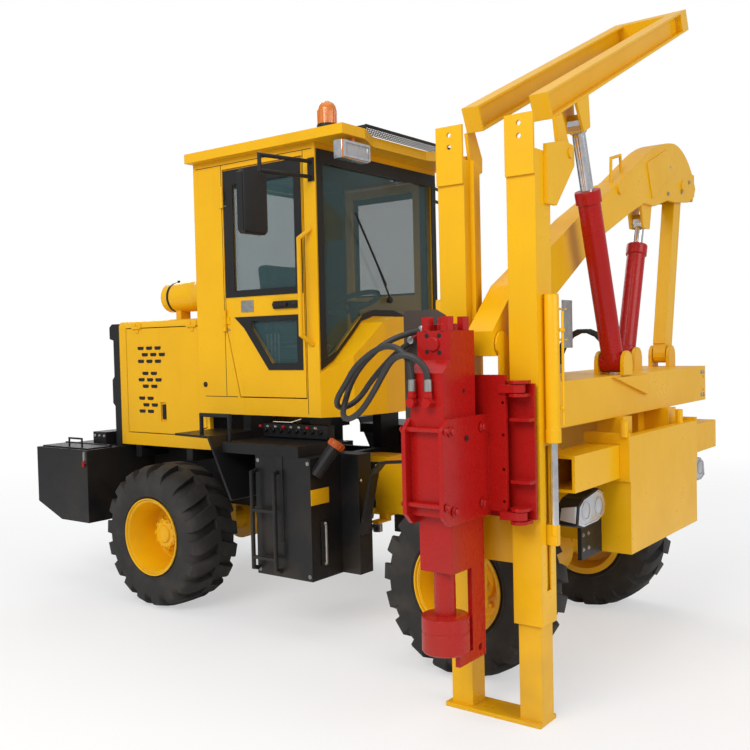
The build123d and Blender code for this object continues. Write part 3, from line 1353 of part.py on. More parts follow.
def legs():
    y = POST_OUT + POST_DEEP / 2
    half = LEG_SIZE / 2
    back, front = FOOT_REACH
    edge = half + FOOT_EDGE
    body = block(POST_X[0] - back, POST_X[1] + front, y - edge, y + edge, 0, FOOT_THICK)
    for x in POST_X:
        body = body + block(x - half, x + half, y - half, y + half, FOOT_THICK - ROOT, LEG_TOP)
    for place, side in leg_cylinder_places():
        x = POST_X[0] if side < 0 else POST_X[1]
        lug_in = x + side * (half - ROOT)
        lug_out = place + side * LEG_ROD_RADIUS
        thick = LEG_LUG_THICK / 2
        body = body + block(lug_in, lug_out, y - thick, y + thick, LEG_LUG_Z - LEG_LUG_HALF,
            LEG_LUG_Z + LEG_LUG_HALF)
        body = body + bar_z(LEG_ROD_RADIUS, place, y, LEG_LUG_Z, LEG_CYL_LOW + ROOT)
    return body


# Folding mast top, drawn lying along +Y from the hinge and then turned to its rest angle
def fold_local(y, z):
    across, up = direction(-FOLD_REST)
    dy = y - FOLD_Y
    dz = z - FOLD_Z
    return dy * across - dz * up, dy * up + dz * across


def fold_arm_side():
    head = FOLD_ARM_HEAD
    under = FOLD_BEAM_UNDER + ROOT
    return [(-head, -head), (head, -head), (head + 30, 20), (head + 20, under),
        (FOLD_BEAM_START, under), (-head, head)]


def mast_top():
    y0 = FOLD_BEAM_START
    y1 = FOLD_BEAM_START + FOLD_BEAM_LENGTH
    z0 = FOLD_BEAM_UNDER
    z1 = FOLD_BEAM_UNDER + FOLD_BEAM_HIGH
    half = FOLD_BEAM_WIDE / 2
    web = FOLD_WEB / 2
    body = block(POST_X[0] - half, POST_X[1] + half, y1 - FOLD_CROSS, y1, z0, z1)
    near = POST_WIDE / 2 - FOLD_ARM_IN + FOLD_ARM
    far = POST_WIDE / 2 + HINGE_BRACKET + FOLD_PIN_OUT
    for x, side in zip(POST_X, (-1, 1)):
        beam = block(x - half, x + half, y0, y1, z0, z0 + FOLD_FLANGE)
        beam = beam + block(x - half, x + half, y0, y1, z1 - FOLD_FLANGE, z1)
        beam = beam + block(x - web, x + web, y0, y1, z0, z1)
        beam = beam + block(x - half, x + half, y0, y0 + FOLD_FLANGE, z0, z1)
        arm_in = x + side * (POST_WIDE / 2 - FOLD_ARM_IN)
        arm = profile_yz(fold_arm_side(), arm_in, arm_in + side * FOLD_ARM)
        body = body + beam + arm + pin_x(FOLD_PIN, x + side * near, x + side * far, 0, 0)
    eye_y, eye_z = fold_local(FOLD_EYE_Y, FOLD_EYE_Z)
    ear_side = [
        (eye_y - FOLD_EAR[0], eye_z - FOLD_EAR[1]),
        (eye_y + FOLD_EAR[0], eye_z - FOLD_EAR[1]),
        (eye_y + FOLD_EAR[2], z0 + ROOT),
        (eye_y - FOLD_EAR[3], z0 + ROOT),
    ]
    for side in (-1, 1):
        x = FOLD_CYL_X + side * (FOLD_ROD_RADIUS + EYE_CLEAR)
        body = body + profile_yz(ear_side, x, x + side * EAR_PLATE)
    return Pos(0, FOLD_Y, FOLD_Z) * Rot(FOLD_REST, 0, 0) * body


# Cylinders are drawn along +Y from their foot eye and then turned into place
def cylinder_barrel(x, y0, z0, y1, z1, radius, length, rod_radius):
    turn = Pos(0, y0, z0) * Rot(link_angle(y0, z0, y1, z1), 0, 0)
    body = bar_x(radius - ROOT, x - radius, x + radius, 0, 0)
    body = body + bar_y(radius, x, 0, length, 0, HUB_SIDES)
    body = body + bar_y(radius + GLAND_OUT, x, length - GLAND_LONG, length, 0, HUB_SIDES)
    body = body - bar_x(eye_radius(PIN_RADIUS), x - radius - 1, x + radius + 1, 0, 0)
    body = body - bar_y(rod_radius + ROD_CLEAR, x, radius + BORE_START, length + 1, 0, HUB_SIDES)
    return turn * body


def cylinder_rod(x, y0, z0, y1, z1, barrel, rod_radius, stroke, eye):
    turn = Pos(0, y0, z0) * Rot(link_angle(y0, z0, y1, z1), 0, 0)
    length = span(y0, z0, y1, z1)
    rod = bar_y(rod_radius, x, barrel - stroke - ROD_END_SPARE, length - eye + ROOT * 3, 0, HUB_SIDES)
    return turn * (rod + bar_x(eye, x - rod_radius, x + rod_radius, length, 0))


def fold_barrel():
    ends = (FOLD_CYL_X, FOLD_BASE_Y, FOLD_BASE_Z, FOLD_EYE_Y, FOLD_EYE_Z)
    return cylinder_barrel(*ends, FOLD_BARREL_RADIUS, FOLD_BARREL, FOLD_ROD_RADIUS)


def fold_rod():
    ends = (FOLD_CYL_X, FOLD_BASE_Y, FOLD_BASE_Z, FOLD_EYE_Y, FOLD_EYE_Z)
    return cylinder_rod(*ends, FOLD_BARREL, FOLD_ROD_RADIUS, FOLD_ROD_STROKE, FOLD_EYE)


def lift_barrel():
    ends = (BOOM_X, LIFT_BASE_Y, LIFT_BASE_Z, LIFT_EYE_Y, LIFT_EYE_Z)
    return cylinder_barrel(*ends, LIFT_BARREL_RADIUS, LIFT_BARREL, LIFT_ROD_RADIUS)


def lift_rod():
    ends = (BOOM_X, LIFT_BASE_Y, LIFT_BASE_Z, LIFT_EYE_Y, LIFT_EYE_Z)
    return cylinder_rod(*ends, LIFT_BARREL, LIFT_ROD_RADIUS, LIFT_ROD_STROKE, LIFT_EYE)


# Strut and boom
def strut():
    turn = Pos(0, STRUT_Y, STRUT_Z) * Rot(link_angle(STRUT_Y, STRUT_Z, STRUT_TOP_Y, STRUT_TOP_Z), 0, 0)
    length = span(STRUT_Y, STRUT_Z, STRUT_TOP_Y, STRUT_TOP_Z)
    half = STRUT_WIDE / 2
    deep = STRUT_DEEP / 2
    neck = deep - GLAND_OUT
    x0 = BOOM_X - half
    x1 = BOOM_X + half
    body = block(x0, x1, STRUT_NECK, length - STRUT_NECK, -deep, deep)
    body = body + block(x0, x1, 0, length, -neck, neck)
    body = body + bar_x(neck, x0, x1, 0, 0) + bar_x(neck, x0, x1, length, 0)
    body = body - bar_x(eye_radius(PIN_RADIUS), x0 - 1, x1 + 1, 0, 0)
    return turn * body


def boom_side():
    over = [(0, y, z) for y, z in BOOM_OVER]
    under = [(0, y, z) for y, z in BOOM_UNDER]
    first, middle, last = [(0, y, z) for y, z in BOOM_CREST]
    fall = [(0, y, z) for y, z in BOOM_FALL]
    hollow = [(0, y, z) for y, z in BOOM_HOLLOW]
    edges = [
        Polyline(*under),
        ThreePointArc(under[-1], *hollow),
        Line(hollow[-1], fall[-1]),
        ThreePointArc(*fall),
        ThreePointArc(first, middle, last),
        Polyline(*over),
    ]
    return make_face(edges)


def boom():
    half = BOOM_WIDE / 2
    slot = STRUT_WIDE / 2 + LUG_SPACE
    body = Pos(BOOM_X - half, 0, 0) * extrude(boom_side(), amount=BOOM_WIDE, dir=(1, 0, 0))
    body = body - block(BOOM_X - slot, BOOM_X + slot, *BOOM_SLOT)
    for side in (-1, 1):
        outer = BOOM_X + side * half
        body = body + profile_yz(BOOM_CHEEK, BOOM_X + side * slot, outer)
        body = body + bar_x(STRUT_BOSS, outer - side * ROOT, outer + side * STRUT_BOSS_OUT, STRUT_TOP_Y,
            STRUT_TOP_Z)
        lug_in = BOOM_X + side * (LIFT_ROD_RADIUS + EYE_CLEAR)
        body = body + profile_yz(LIFT_LUG, lug_in, lug_in + side * EAR_PLATE)
        body = body + profile_yz(BOOM_WELD, outer - side * ROOT, outer + side * WELD_PLATE)
        body = body + bar_x(STRUT_BOSS, outer - side * ROOT, outer + side * STRUT_BOSS_OUT, *BOOM_BOSS)
    body = body + tube_path(RING_TUBE, [(BOOM_X, y, z) for y, z in BOOM_RING])
    return body - bar_x(eye_radius(PIN_RADIUS), BOOM_X - half - 1, BOOM_X + half + 1, TIP_Y, TIP_Z)


# Carriage on the posts, with the upright pins that the hammer swings on
def plate_front():
    return POST_OUT - SPLICE_THICK - CARRIAGE_CLEAR - CARRIAGE_PLATE


def carriage():
    y0 = plate_front()
    y1 = y0 + CARRIAGE_PLATE
    inner = POST_X[0] + POST_WIDE / 2
    outer = POST_X[1] - POST_WIDE / 2
    x_end = POST_X[1] + CARRIAGE_EDGE[1]
    body = block(POST_X[0] - CARRIAGE_EDGE[0], x_end, y0, y1, CARRIAGE_LOW, CARRIAGE_TOP)
    body = body - block(inner + NOTCH_IN, outer - NOTCH_IN, y0 - 1, y1 + 1, CARRIAGE_TOP - NOTCH_DEEP,
        CARRIAGE_TOP + 1)
    for z in CARRIAGE_RIBS:
        body = body + block(SWING_X - SWING_LUG, x_end, y0 - RIB_OUT, y0 + ROOT, z - RIB_THICK / 2,
            z + RIB_THICK / 2)
    groove_y0 = POST_OUT + GUIDE_BACK - SHOE_CLEAR
    groove_y1 = POST_OUT + GUIDE_BACK + GUIDE_BAR + SHOE_CLEAR
    for side, face in ((1, inner), (-1, outer)):
        near = face + side * SHOE_CLEAR
        deep = face + side * (GUIDE_BAR + SHOE_CLEAR)
        back = face + side * (GUIDE_BAR + SHOE_WIDE)
        shoe = block(near, back, y1 - ROOT, POST_OUT + SHOE_DEEP, CARRIAGE_LOW, CARRIAGE_TOP)
        body = body + (shoe - block(face, deep, groove_y0, groove_y1, CARRIAGE_LOW - 1, CARRIAGE_TOP + 1))
    for z in (CARRIAGE_LOW + SWING_INSET, CARRIAGE_TOP - SWING_INSET):
        for middle in (z - SWING_LUG_APART, z + SWING_LUG_APART):
            z0 = middle - SWING_LUG_HALF
            z1 = middle + SWING_LUG_HALF
            body = body + block(SWING_X - SWING_LUG, SWING_X + SWING_LUG, SWING_Y, y0 + ROOT, z0, z1)
            body = body + bar_z(SWING_LUG, SWING_X, SWING_Y, z0, z1)
        reach = SWING_LUG_APART - SWING_LUG_HALF
        body = body + pin_z(SWING_PIN, SWING_X, SWING_Y, z - reach, z + reach)
    return body


def tip_ears():
    y0 = plate_front()
    near = BOOM_WIDE / 2 + TIP_EAR_CLEAR
    far = near + TIP_EAR_THICK
    body = pin_x(PIN_RADIUS, BOOM_X - near, BOOM_X + near, TIP_Y, TIP_Z)
    for side in (-1, 1):
        x0 = BOOM_X + side * near
        x1 = BOOM_X + side * far
        body = body + block(x0, x1, y0, POST_OUT + TIP_EAR, CARRIAGE_TOP + SEAT_GAP, TIP_Z)
        body = body + bar_x(TIP_EAR, x0, x1, TIP_Y, TIP_Z)
    return body


# Hammer: a stepped block between two side plates, with its drive tool below
def hose_end(run, out):
    last = Vector(*run[-1])
    way = (last - Vector(*run[-2])).normalized()
    return tuple(last + way * out)


def hammer():
    x0 = HAMMER_X - HAMMER_HALF
    x1 = HAMMER_X + HAMMER_HALF
    outline = [
        (HEAD_FACE, HEAD_TOP),
        (HEAD_FACE, HEAD_LOW),
        (BODY_FACE, BODY_TOP),
        (BODY_FACE, BODY_LOW),
        (TAIL_FACE, BODY_LOW),
        (TAIL_FACE, TAIL_LOW),
        (TAIL_BACK, TAIL_LOW),
        (TAIL_BACK, BODY_LOW),
        (HAMMER_BACK, BODY_LOW),
        (HAMMER_BACK, HEAD_TOP),
    ]
    core = profile_yz(outline, x0, x1)
    core = core - bar_z(TOOL_RADIUS + ROD_CLEAR, HAMMER_X, TOOL_Y, TAIL_LOW - 1, TAIL_LOW + TOOL_BORE,
        HUB_SIDES)
    for bx in (x0 + HEAD_BOLT_IN[0], x1 - HEAD_BOLT_IN[0]):
        for by in (HEAD_FACE + HEAD_BOLT_IN[1], HAMMER_BACK - HEAD_BOLT_IN[1]):
            core = core + bar_z(HEAD_BOLT, bx, by, HEAD_TOP - ROOT, HEAD_TOP + HEAD_BOLT_HIGH, 6)
    side_back = SWING_PLATE_Y - ROOT
    side_line = [
        (SIDE_OUT, SIDE_LOW + SIDE_CUT),
        (SIDE_OUT + SIDE_CUT, SIDE_LOW),
        (side_back, SIDE_LOW),
        (side_back, SIDE_TOP),
        (SIDE_OUT + SIDE_CUT, SIDE_TOP),
        (SIDE_OUT, SIDE_TOP - SIDE_CUT),
    ]
    plate_x0 = x0 - SIDE_PLATE
    plate_x1 = x1 + SIDE_PLATE
    core = core + profile_yz(side_line, plate_x0, x0) + profile_yz(side_line, x1, plate_x1)
    for z in TIE_RODS:
        core = core + bar_x(TIE_ROD, plate_x0, plate_x1, TIE_ROD_Y, z, TUBE_SIDES)
    core = core + block(plate_x0, SWING_X - SWING_REACH, SWING_PLATE_Y - SWING_PLATE, SWING_PLATE_Y,
        SIDE_LOW + SWING_INSET, SWING_PLATE_TOP)
    core = core + hammer_fittings()
    for z in (CARRIAGE_LOW + SWING_INSET, CARRIAGE_TOP - SWING_INSET):
        z0 = z - SWING_TONGUE_HALF
        z1 = z + SWING_TONGUE_HALF
        core = core + block(SWING_X - SWING_ROOT, SWING_X, SWING_Y - SWING_TONGUE, SWING_Y, z0, z1)
        core = core + bar_z(SWING_TONGUE, SWING_X, SWING_Y, z0, z1)
        core = core - bar_z(eye_radius(SWING_PIN), SWING_X, SWING_Y, z0 - 1, z1 + 1)
    return core


# Ports for the two hoses, the plate they end on, and the guide plate beside the tool
def hammer_fittings():
    x0, x1, y0, y1, z0, z1 = ANCHOR_PLATE
    cut = ANCHOR_CORNER
    line = [(x0, z0), (x1, z0), (x1, z1 - cut), (x1 - cut, z1), (x0, z1)]
    body = profile_xz(line, y0, y1)
    for x, run in zip(PORT_X, HOSE_RUNS):
        body = body + bar_y(PORT_NUT, x, PORT_FRONT, BODY_FACE + ROOT, PORT_Z, 6)
        body = body + bar_z(PORT_TUBE, x, PORT_Y, PORT_Z, run[0][2] - SEAT_GAP, TUBE_SIDES)
        body = body + bar_between(PORT_TUBE, hose_end(run, SEAT_GAP), hose_end(run, ANCHOR_PORT),
            TUBE_SIDES)
    for y0, y1, z0, z1 in GUIDE_PLATES:
        body = body + block(*GUIDE_PLATE_X, y0, y1, z0, z1)
    y, z, radius = GUIDE_HOLE
    return body - bar_x(radius, GUIDE_PLATE_X[0] - 1, GUIDE_PLATE_X[1] + 1, y, z, TUBE_SIDES)


def drive_tool():
    body = bar_z(TOOL_RADIUS, HAMMER_X, TOOL_Y, CAP_TOP - ROOT, TAIL_LOW + TOOL_INSIDE, HUB_SIDES)
    body = body + bar_z(CAP_RADIUS, HAMMER_X, TOOL_Y, CAP_LOW + CAP_LIP_HIGH, CAP_TOP, RIM_SIDES)
    return body + bar_z(CAP_LIP, HAMMER_X, TOOL_Y, CAP_LOW, CAP_LOW + CAP_LIP_HIGH + ROOT, RIM_SIDES)


# A hose is straight runs with tangent arcs between them
def bend_radii(run):
    corners = [Vector(*point) for point in run]
    radii = []
    for before, here, after in zip(corners, corners[1:], corners[2:]):
        coming = here - before
        going = after - here
        half_turn = math.radians(coming.get_angle(going)) / 2
        radii.append(BEND_SHARE * min(coming.length, going.length) / math.tan(half_turn))
    return radii


def hammer_hose(run):
    path = FilletPolyline(*run, radius=bend_radii(run))
    section = Plane(origin=path @ 0, z_dir=path % 0) * RegularPolygon(HOSE_RADIUS, HOSE_SIDES)
    return sweep(section, path=path)


# Steering cylinders, drawn along +X and then turned into place
def steer_place(side, body):
    angle = math.degrees(math.atan2(side * (STEER_EYE_Y - STEER_BASE_Y), STEER_EYE_X - STEER_BASE_X))
    return Pos(STEER_BASE_X, side * STEER_BASE_Y, STEER_CYL_Z) * Rot(0, 0, angle) * body


def steer_barrel(side):
    body = bar_x(STEER_CYL_RADIUS, 0, STEER_BARREL, 0, 0)
    body = body + bar_z(STEER_CYL_RADIUS, 0, 0, -STEER_EYE, STEER_EYE)
    body = body - bar_x(STEER_ROD_RADIUS + ROD_CLEAR, STEER_BORE_START, STEER_BARREL + 1, 0, 0)
    pin_top = STEER_PAD_LOW + STEER_PAD_THICK / 2 - STEER_CYL_Z
    return steer_place(side, body + pin_z(STEER_PIN, 0, 0, STEER_EYE, pin_top))


def steer_rod(side):
    length = math.hypot(STEER_EYE_X - STEER_BASE_X, STEER_EYE_Y - STEER_BASE_Y)
    rod = bar_x(STEER_ROD_RADIUS, STEER_ROD_START, length, 0, 0)
    return steer_place(side, rod + bar_z(STEER_EYE, length, 0, -STEER_EYE_HALF, STEER_EYE_HALF))


def rear_nodes():
    nodes = {
        "rear_chassis": rear_chassis(),
        "rear_axle": axle(0, RAIL_LOW - SEAT_GAP),
        "rear_weight_box": rear_box(),
        "hood_shell": hood(),
        "radiator_grille": grille(),
        "engine_block": engine(),
        "air_cleaner": air_cleaner(),
        "cab_shell": cab_shell(),
        "cab_roof": cab_roof(),
        "cab_glass": cab_glass(),
        "driver_seat": seat(),
        "steering_column": steering_column(),
        "mirrors": mirrors(),
        "roof_lamps": roof_lamps(),
    }
    pairs = (("side_tanks", tank), ("step_decks", step_deck), ("rear_fenders", rear_fender),
        ("front_mudguards", front_mudguard))
    for name, piece in pairs:
        nodes[name] = Compound([piece(-1), piece(1)])
    return nodes


def side_nodes(side, word):
    nodes = {
        "box_lid_" + word: box_lid(side),
        "hood_panel_" + word: hood_panel(side),
        "door_" + word: door(side),
        "door_glass_" + word: door_glass(side),
        "steer_barrel_" + word: steer_barrel(side),
        "steer_rod_" + word: steer_rod(side),
    }
    for x, end in ((0, "rear"), (WHEEL_BASE, "front")):
        rubber, metal = wheel_at(x, side)
        nodes["tyre_" + end + "_" + word] = rubber
        nodes["rim_" + end + "_" + word] = metal
    return nodes


def front_nodes():
    return {
        "front_chassis": front_chassis(),
        "front_axle": axle(WHEEL_BASE, FRONT_LOW - SEAT_GAP),
        "front_weight_box": front_box(),
        "low_beam": low_beam(),
        "top_beam": top_beam(),
        "headlamps": headlamps(),
        "mast_posts": mast_posts(),
        "leg_cylinders": leg_cylinders(),
        "mast_legs": legs(),
        "mast_top": mast_top(),
        "fold_barrel": fold_barrel(),
        "fold_rod": fold_rod(),
        "boom_strut": strut(),
        "lift_barrel": lift_barrel(),
        "lift_rod": lift_rod(),
        "boom": boom(),
        "hammer_carriage": carriage(),
        "boom_tip_ears": tip_ears(),
        "hammer": hammer(),
        "drive_cap": drive_tool(),
        "hammer_hose_front": hammer_hose(HOSE_RUNS[0]),
        "hammer_hose_rear": hammer_hose(HOSE_RUNS[1]),
    }


def build():
    nodes = rear_nodes()
    for side, word in ((-1, "right"), (1, "left")):
        nodes.update(side_nodes(side, word))
    nodes.update(front_nodes())
    return nodes


def footprint_shift(nodes):
    boxes = [shape.bounding_box() for shape in nodes.values()]
    x = (min(box.min.X for box in boxes) + max(box.max.X for box in boxes)) / 2
    y = (min(box.min.Y for box in boxes) + max(box.max.Y for box in boxes)) / 2
    return -x, -y


def write_parts():
    nodes = build()
    shift_x, shift_y = footprint_shift(nodes)
    os.makedirs("parts", exist_ok=True)
    for name, shape in nodes.items():
        export_step(Pos(shift_x, shift_y, 0) * shape, "parts/" + name + ".step")
    return nodes, shift_x, shift_y


if __name__ == "__main__":
    made, moved_x, moved_y = write_parts()
    print("nodes", len(made), "shift", round(moved_x, 4), round(moved_y, 4))
    for hose_run in HOSE_RUNS:
        print("hose bend radii", [round(radius) for radius in bend_radii(hose_run)])
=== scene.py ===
import json
import math

import bmesh
import bpy
from mathutils import Matrix, Vector


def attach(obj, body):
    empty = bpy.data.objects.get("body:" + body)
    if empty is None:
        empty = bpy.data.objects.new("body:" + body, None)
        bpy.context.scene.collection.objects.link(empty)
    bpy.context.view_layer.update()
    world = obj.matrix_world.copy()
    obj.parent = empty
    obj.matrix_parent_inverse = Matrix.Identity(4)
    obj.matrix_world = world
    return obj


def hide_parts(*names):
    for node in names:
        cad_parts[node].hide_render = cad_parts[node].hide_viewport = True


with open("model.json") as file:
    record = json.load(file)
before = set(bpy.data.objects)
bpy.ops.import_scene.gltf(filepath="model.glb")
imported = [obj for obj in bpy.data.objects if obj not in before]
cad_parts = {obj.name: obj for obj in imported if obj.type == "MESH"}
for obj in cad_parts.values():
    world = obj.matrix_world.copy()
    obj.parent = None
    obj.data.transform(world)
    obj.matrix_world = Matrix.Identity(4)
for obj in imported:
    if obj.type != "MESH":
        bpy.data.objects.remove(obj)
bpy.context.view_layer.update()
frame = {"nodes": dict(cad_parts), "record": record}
cad = frame["nodes"]

# The camera stands off the machine's front right corner, at eye height, tilted a hair down
# and to the side. Its focal length is in pixels of the 750 pixel wide frame.
SENSOR = 36.0
FOCAL, FRAME_WIDE = 925.78, 750
yaw, pitch, roll = 0.644313, -0.0352693, -0.0232326
eye = Vector((3.9206, -4.7264, 1.7129))
ahead = Vector((-math.sin(yaw) * math.cos(pitch), math.cos(yaw) * math.cos(pitch), math.sin(pitch)))
level = Vector((math.cos(yaw), math.sin(yaw), 0))
upward = level.cross(ahead)
across = math.cos(roll) * level + math.sin(roll) * upward
upright = -math.sin(roll) * level + math.cos(roll) * upward
camera = bpy.data.objects.new("camera", bpy.data.cameras.new("camera"))
camera.data.sensor_width = SENSOR
camera.data.lens = SENSOR * FOCAL / FRAME_WIDE
camera.matrix_world = Matrix.Translation(eye) @ Matrix((across, upright, -ahead)).transposed().to_4x4()
bpy.context.scene.collection.objects.link(camera)
bpy.context.scene.camera = camera


# Shader sums are written as plain sums: a Wire is one socket, and a Finish is one material,
# with a single way to add any node.
class Wire:
    def __init__(self, finish, socket):
        self.finish = finish
        self.socket = socket

    def sum(self, operation, first, second):
        return self.finish.node("Math", {"operation": operation}, {0: first, 1: second})

    def __add__(self, other):
        return self.sum("ADD", self, other)

    def __radd__(self, other):
        return self.sum("ADD", other, self)

    def __sub__(self, other):
        return self.sum("SUBTRACT", self, other)

    def __rsub__(self, other):
        return self.sum("SUBTRACT", other, self)

    def __mul__(self, other):
        return self.sum("MULTIPLY", self, other)

    def __rmul__(self, other):
        return self.sum("MULTIPLY", other, self)

    def clamped(self):
        return self.finish.node("Clamp", {}, {"Value": self})


class Finish:
    def __init__(self, name, **constants):
        self.material = bpy.data.materials.new(name)
        self.material.use_nodes = True
        self.tree = self.material.node_tree
        self.shader = self.tree.nodes["Principled BSDF"]
        self.set(**constants)

    def set(self, **values):
        for name, value in values.items():
            self.join(value, self.shader.inputs[name.replace("_", " ")])

    def join(self, value, socket):
        if isinstance(value, Wire):
            self.tree.links.new(value.socket, socket)
        elif socket.type == "RGBA" and len(value) == 3:
            socket.default_value = (*value, 1)
        else:
            socket.default_value = value

    def node(self, kind, settings=None, sockets=None, out=0):
        made = self.tree.nodes.new("ShaderNode" + kind)
        for name, value in (settings or {}).items():
            setattr(made, name, value)
        for name, value in (sockets or {}).items():
            self.join(value, made.inputs[name])
        return Wire(self, made.outputs[out])

    def place(self):
        return self.node("TexCoord", out="Object")

    def noise(self, scale, detail=3.0, rough=0.55, at=None):
        sockets = {"Vector": at or self.place(), "Scale": scale, "Detail": detail, "Roughness": rough}
        return self.node("TexNoise", {}, sockets)

    def blend(self, factor, first, second):
        return self.node("Mix", {"data_type": "RGBA"}, {0: factor, 6: first, 7: second}, out=2)

    def range(self, value, low, high, to_low=0.0, to_high=1.0):
        return self.node("MapRange", {}, {0: value, 1: low, 2: high, 3: to_low, 4: to_high})

    def along(self, axis):
        return self.node("SeparateXYZ", {}, {0: self.place()}, out=axis)

    def bump(self, height, strength, distance, normal=None):
        sockets = {"Height": height, "Strength": strength, "Distance": distance}
        if normal is not None:
            sockets["Normal"] = normal
        return self.node("Bump", {}, sockets)


# Sizes are written as on the machine's drawing, in millimetres: X forward from the rear axle,
# Y to the left, Z up from the ground. A Shape gathers plain forms into one mesh in the row frame.
AXLE_TO_MIDDLE = 900.0
MIDLINE_TO_MIDDLE = 131.6617


def row(x, y, z):
    return Vector(((x - AXLE_TO_MIDDLE) / 1000, (y + MIDLINE_TO_MIDDLE) / 1000, z / 1000))


class Shape:
    def __init__(self):
        self.mesh = bmesh.new()

    def skin(self, rings, soft=0.0, closed=False):
        rings = [[self.mesh.verts.new(spot) for spot in ring] for ring in rings]
        count = len(rings[0])
        faces = []
        pairs = list(zip(rings, rings[1:]))
        if closed:
            pairs.append((rings[-1], rings[0]))
        for low, high in pairs:
            for number in range(count):
                after = (number + 1) % count
                faces.append(self.mesh.faces.new((low[number], low[after], high[after], high[number])))
        if not closed:
            faces.append(self.mesh.faces.new(rings[0][::-1]))
            faces.append(self.mesh.faces.new(rings[-1]))
        if soft > 0:
            edges = list({edge for face in faces for edge in face.edges})
            bmesh.ops.bevel(
                self.mesh, geom=edges, offset=soft / 1000, segments=2, affect="EDGES", profile=0.6,
                clamp_overlap=True)

    def slab(self, outline, along, low, high, soft=1.5):
        turn = {"x": (2, 0, 1), "y": (0, 2, 1), "z": (0, 1, 2)}[along]
        rings = []
        for depth in (low, high):
            flat = [(a, b, depth) for a, b in outline]
            rings.append([row(*[spot[index] for index in turn]) for spot in flat])
        self.skin(rings, soft)

    def block(self, x0, x1, y0, y1, z0, z1, soft=1.5):
        self.slab([(x0, y0), (x1, y0), (x1, y1), (x0, y1)], "z", z0, z1, soft)

    def circle(self, centre, turn, radius, sides):
        turns = [2 * math.pi * number / sides for number in range(sides)]
        return [centre + turn @ Vector((math.cos(a), math.sin(a), 0)) * (radius / 1000) for a in turns]

    def turned(self, start, direction, stations, sides=32):
        towards = Vector(direction).normalized()
        turn = towards.to_track_quat("Z", "Y").to_matrix()
        rings = []
        for distance, radius in stations:
            centre = row(*start) + towards * (distance / 1000)
            rings.append(self.circle(centre, turn, radius, sides))
        return rings

    def post(self, start, direction, stations, sides=32):
        self.skin(self.turned(start, direction, stations, sides))

    def loop(self, start, direction, stations, sides=64):
        self.skin(self.turned(start, direction, stations, sides), closed=True)

    def rod(self, start, end, radius, sides=20):
        run = Vector(end) - Vector(start)
        tip = min(radius * 0.3, 2.0)
        stations = [(0, radius - tip), (tip, radius), (run.length - tip, radius), (run.length, radius - tip)]
        self.post(start, run, stations, sides)

    def bolt(self, place, direction, across=11.0, high=9.0):
        washer = across * 1.45
        self.post(place, direction, [(-1, washer), (1.8, washer), (2.2, washer - 1)], 16)
        self.post(place, direction, [(1.5, across), (high - 2, across), (high, across * 0.82)], 6)

    def frame(self, outer, inner, along, low, high):
        turn = {"x": (2, 0, 1), "y": (0, 2, 1), "z": (0, 1, 2)}[along]
        rings = []
        for outline, depth in ((outer, low), (outer, high), (inner, high), (inner, low)):
            rings.append([row(*[(a, b, depth)[index] for index in turn]) for a, b in outline])
        self.skin(rings, closed=True)

    def pipe(self, points, radius, sides=12):
        spots = [row(*point) for point in points]
        rings = []
        for number, spot in enumerate(spots):
            before = spots[max(number - 1, 0)]
            after = spots[min(number + 1, len(spots) - 1)]
            turn = (after - before).to_track_quat("Z", "Y").to_matrix()
            rings.append(self.circle(spot, turn, radius, sides))
        self.skin(rings)

    def done(self, name, body, material, slot, replaced=(), sharp=35):
        bmesh.ops.recalc_face_normals(self.mesh, faces=self.mesh.faces[:])
        mesh = bpy.data.meshes.new(name)
        self.mesh.to_mesh(mesh)
        self.mesh.free()
        mesh.shade_smooth()
        mesh.set_sharp_from_angle(angle=math.radians(sharp))
        mesh.materials.append(material)
        made = bpy.data.objects.new(name, mesh)
        bpy.context.scene.collection.objects.link(made)
        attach(made, body)
        if replaced:
            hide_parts(*replaced)
        return made


# The two hammer hoses: rubber over braid, from the ports on the hammer's body round a loose
# loop to the anchor plate, crimped at both ends.
hose_rubber = Finish("hose_rubber", Roughness=0.5)
scuff = hose_rubber.noise(60.0, 3)
hose_rubber.set(
    Base_Color=hose_rubber.blend(scuff, (0.014, 0.014, 0.015), (0.04, 0.038, 0.036)),
    Normal=hose_rubber.bump(hose_rubber.noise(700.0, 2), 0.15, 0.0006))
HOSE_RADIUS = 0.0135
HOSES = (
    ("hammer_hose_front", 1.244, (
        (2625, -1680, 1530), (2625, -1680, 1592), (2600, -1676, 1648), (2548, -1672, 1690),
        (2480, -1667, 1698), (2398, -1661, 1668), (2300, -1653, 1604), (2246, -1649, 1532),
        (2185, -1645, 1459), (2152, -1592, 1418), (2152, -1518, 1418), (2185, -1465, 1459),
        (2247, -1466, 1534), (2325, -1470, 1604), (2415, -1480, 1672), (2470, -1438, 1719))),
    ("hammer_hose_rear", 1.307, (
        (2705, -1680, 1530), (2705, -1680, 1590), (2669, -1699, 1640), (2610, -1712, 1661),
        (2551, -1713, 1643), (2505, -1712, 1586), (2440, -1704, 1498), (2362, -1698, 1408),
        (2275, -1680, 1372), (2215, -1640, 1390), (2196, -1596, 1445), (2212, -1575, 1525),
        (2262, -1570, 1598), (2330, -1568, 1658), (2398, -1556, 1708), (2468, -1510, 1745),
        (2530, -1438, 1765))),
)


